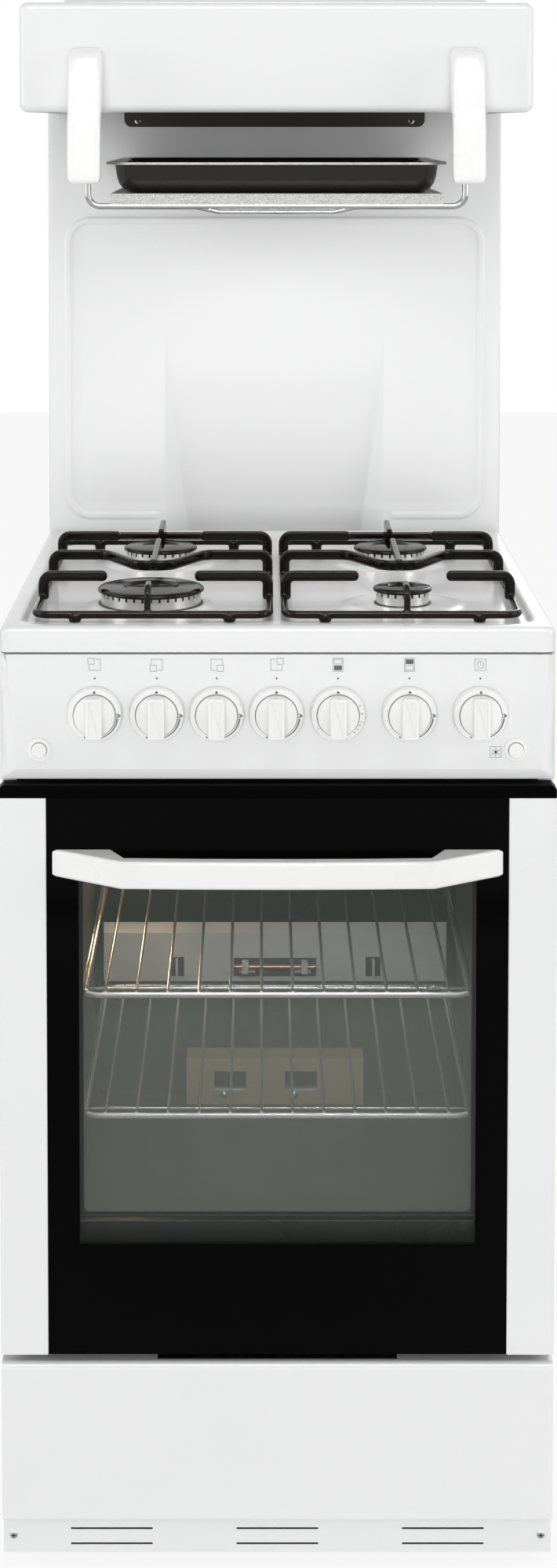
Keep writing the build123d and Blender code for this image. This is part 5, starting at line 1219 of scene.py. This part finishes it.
def drawn_dish(low, high, corner, profile, highlight_steps):
    """New bmesh: a dish drawn down from its rim through (inset, level) steps, with a flat floor."""
    bm = bmesh.new()
    bmesh.ops.create_grid(bm, x_segments=1, y_segments=1, size=1.0)
    half = (high - low) / 2
    middle = (high + low) / 2
    bmesh.ops.scale(bm, vec=(half.x, half.y, 1.0), verts=bm.verts)
    round_off(bm, bm.verts, corner, 10, "VERTICES")
    bmesh.ops.delete(bm, geom=bm.faces, context="FACES_ONLY")
    ring = list(bm.edges)
    inset_before, level_before = 0.0, profile[0][1]
    bmesh.ops.translate(bm, vec=(0, 0, level_before), verts=bm.verts)
    for step, (inset, level) in enumerate(profile):
        drawn = bmesh.ops.extrude_edge_only(bm, edges=ring)["geom"]
        for item in drawn:
            if isinstance(item, bmesh.types.BMFace):
                # The first steps at the rim take the second material, which is a painted highlight.
                item.material_index = int(step < highlight_steps)
        ring = [item for item in drawn if isinstance(item, bmesh.types.BMEdge) and item.is_boundary]
        corners = list({vert for edge in ring for vert in edge.verts})
        shrink = [(size - inset) / (size - inset_before) for size in half.xy]
        bmesh.ops.scale(bm, vec=(*shrink, 1), verts=corners)
        bmesh.ops.translate(bm, vec=(0, 0, level - level_before), verts=corners)
        inset_before, level_before = inset, level
    bottom = bmesh.ops.contextual_create(bm, geom=ring)["faces"]
    bottom[0].material_index = 0
    bmesh.ops.translate(bm, vec=(middle.x, middle.y, low.z), verts=bm.verts)
    close_up(bm)
    return bm


PAN_PROFILE = [(0.0006, 0.0284), (0.0, 0.0290), (0.0003, 0.0297), (0.0012, 0.0300), (0.0068, 0.0294),
               (0.0084, 0.0284), (0.0092, 0.0268), (0.0108, 0.0160), (0.0128, 0.0095), (0.0165, 0.0045),
               (0.0215, 0.0014), (0.0270, 0.0002), (0.0320, 0.0)]
PAN_CORNER = 0.020
PAN_HIGHLIGHT_STEPS = 3
PAN_THICK = 0.0010
PAN_TONES = ((0.0060, 0.0045, 0.0042), (0.0110, 0.0090, 0.0085))
PAN_LOOK = {**DARK_ENAMEL_LOOK, "relief": (0.10, 0.0004)}
RIM_HIGHLIGHT_TONES = ((0.30, 0.30, 0.29), (0.50, 0.50, 0.49))
SHIELD_TONES = ((0.050, 0.047, 0.045), (0.075, 0.070, 0.066))
hammered = finish("hammered", {"Metallic": 0.6}, hammered_pattern)
carry(chrome, "grill_cradle", "grill_pan_rack")
carry(hammered, "grill_reflector")
pan_enamel = coat("pan_enamel", PAN_TONES, PAN_LOOK, rough=0.16, constants={"Specular IOR Level": 0.42})
# The pan's rim is bright bare steel as a painted highlight along its edge.
rim_highlight = bare_metal("rim_highlight", RIM_HIGHLIGHT_TONES, rough=0.22, metallic=0.9)
pan = piece(drawn_dish(*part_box("grill_pan"), PAN_CORNER, PAN_PROFILE, PAN_HIGHLIGHT_STEPS), "grill_pan_dish",
            [pan_enamel, rim_highlight], "grill_pan", ["grill_pan"], crease=60.0)
pan_wall = pan.modifiers.new("wall", "SOLIDIFY")
pan_wall.thickness = PAN_THICK
pan_wall.offset = -1.0
shield_steel = brushed("shield_steel", SHIELD_TONES, rough=0.42, metallic=0.4, stretch=0.1)
carry(shield_steel, "grill_heat_shield")
LEDGE_HALF = 0.165
LEDGE_GAP = 0.0025
LEDGE_THICK = 0.0012
LEDGE_SINK = 0.0005
LEDGE_TALL = 0.012
LEDGE_EDGE = 0.0003
reflector_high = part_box("grill_reflector")[1]
ledge = slab(around(0.0, LEDGE_HALF), (reflector_high.y + LEDGE_GAP, splash_low.y),
             (reflector_high.z - LEDGE_THICK, reflector_high.z), LEDGE_EDGE)
gather(ledge, slab(around(0.0, LEDGE_HALF), (splash_low.y - LEDGE_THICK, splash_low.y),
                   (reflector_high.z - LEDGE_SINK, reflector_high.z + LEDGE_TALL), LEDGE_EDGE))
piece(ledge, "grill_rear_ledge", [shield_steel], ROOT, ())


# ===== Stage, lights and camera =====
# A pale floor under a white sky. Two wide lamps without glare light the front, with one at each
# side, one behind, a weak one above, and a strip that gives highlights alone. Two small fills
# reach the hob and the oven. The camera is a little left of the middle and tilted slightly down.

FLOOR_HALF = 9.0
FLOOR_COLOUR = (0.80, 0.80, 0.80, 1.0)
FLOOR_GLOW = 0.90
SKY_AMBIENT = 0.35
WHITE = (1.0, 1.0, 1.0, 1.0)
floor_bm = bmesh.new()
bmesh.ops.create_grid(floor_bm, x_segments=1, y_segments=1, size=FLOOR_HALF)
floor_mesh = bpy.data.meshes.new("floor")
floor_bm.to_mesh(floor_mesh)
floor_bm.free()
floor = add_object("floor", floor_mesh)
floor_paint = bpy.data.materials.new("floor_paint")
floor_paint.use_nodes = True
tree = floor_paint.node_tree
matt = tree.nodes["Principled BSDF"]
matt.inputs["Base Color"].default_value = FLOOR_COLOUR
matt.inputs["Roughness"].default_value = 0.9
start = Signal(tree)
seen = start.node("LightPath", output="Is Camera Ray")
glow = start.node("Emission", None, {"Color": WHITE})
mixed = start.node("MixShader", None, {0: FLOOR_GLOW * seen, 1: Signal(tree, matt.outputs[0]), 2: glow})
tree.links.new(mixed.socket, tree.nodes["Material Output"].inputs[0])
floor_mesh.materials.append(floor_paint)

world = bpy.data.worlds.new("sky")
bpy.context.scene.world = world
world.use_nodes = True
sky_tree = world.node_tree
sky_node = sky_tree.nodes["Background"]
sky_node.inputs["Color"].default_value = WHITE
sky = Signal(sky_tree)
camera_ray, glossy_ray, clear_ray = [sky.node("LightPath", output=f"Is {kind} Ray")
                                     for kind in ("Camera", "Glossy", "Transmission")]
seen_sky = (camera_ray + glossy_ray + clear_ray).math("MINIMUM", 1.0)
sky_strength = SKY_AMBIENT + (1 - SKY_AMBIENT) * seen_sky
sky_tree.links.new(sky_strength.socket, sky_node.inputs["Strength"])


def soft_lamp(name, place, aim, size, watts, glare=True, fill=True):
    """Adds an area lamp that points at a spot. It may leave out its glare, or give nothing but glare."""
    lamp = bpy.data.lights.new(name, "AREA")
    lamp.shape = "RECTANGLE"
    lamp.size, lamp.size_y = size
    lamp.energy = watts
    holder = add_object(name, lamp)
    holder.location = place
    holder.rotation_euler = (Vector(aim) - Vector(place)).to_track_quat("-Z", "Y").to_euler()
    holder.visible_glossy = glare
    holder.visible_diffuse = fill


soft_lamp("front_lamp", (-0.6, -6.0, 1.6), (0.0, 0.0, 0.9), (3.0, 2.2), 98.0, False)
soft_lamp("low_lamp", (0.4, -5.0, 0.4), (0.0, 0.0, 0.9), (3.0, 0.7), 42.0, False)
soft_lamp("top_lamp", (0.1, -1.3, 4.2), (0.0, -0.1, 0.87), (1.6, 1.2), 16.0)
soft_lamp("strip_lamp", (0.0, -2.2, 3.0), (0.0, 0.0, 1.0), (2.4, 0.30), 60.0, True, False)
soft_lamp("left_lamp", (-3.0, -0.8, 1.6), (0.0, 0.0, 0.7), (1.6, 2.4), 29.0)
soft_lamp("right_lamp", (3.0, -1.0, 1.8), (0.0, 0.0, 0.7), (1.6, 2.4), 30.0)
soft_lamp("back_lamp", (0.6, 3.2, 2.4), (0.0, 0.0, 0.8), (2.0, 2.0), 34.0)
soft_lamp("hob_fill", (0.0, -0.02, 1.232), (0.0, -0.02, 0.87), (0.40, 0.22), 0.55, False)
soft_lamp("oven_fill", (0.0, -0.215, 0.670), (0.0, 0.10, 0.40), (0.30, 0.03), 2.4)

CAMERA_PLACE = (-0.0149, -2.5541, 1.3300)
CAMERA_PITCH = math.radians(3.287)
camera = bpy.data.cameras.new("camera")
camera.lens = 58.70
camera.sensor_width = 36.0
camera.shift_x = 0.0111
camera.shift_y = -0.33
camera.clip_start = 0.05
camera.clip_end = 60.0
camera_place = add_object("camera", camera)
camera_place.location = CAMERA_PLACE
camera_place.rotation_euler = (math.pi / 2 - CAMERA_PITCH, 0.0, 0.0)
bpy.context.scene.camera = camera_place
bpy.context.scene.view_settings.view_transform = "Standard"
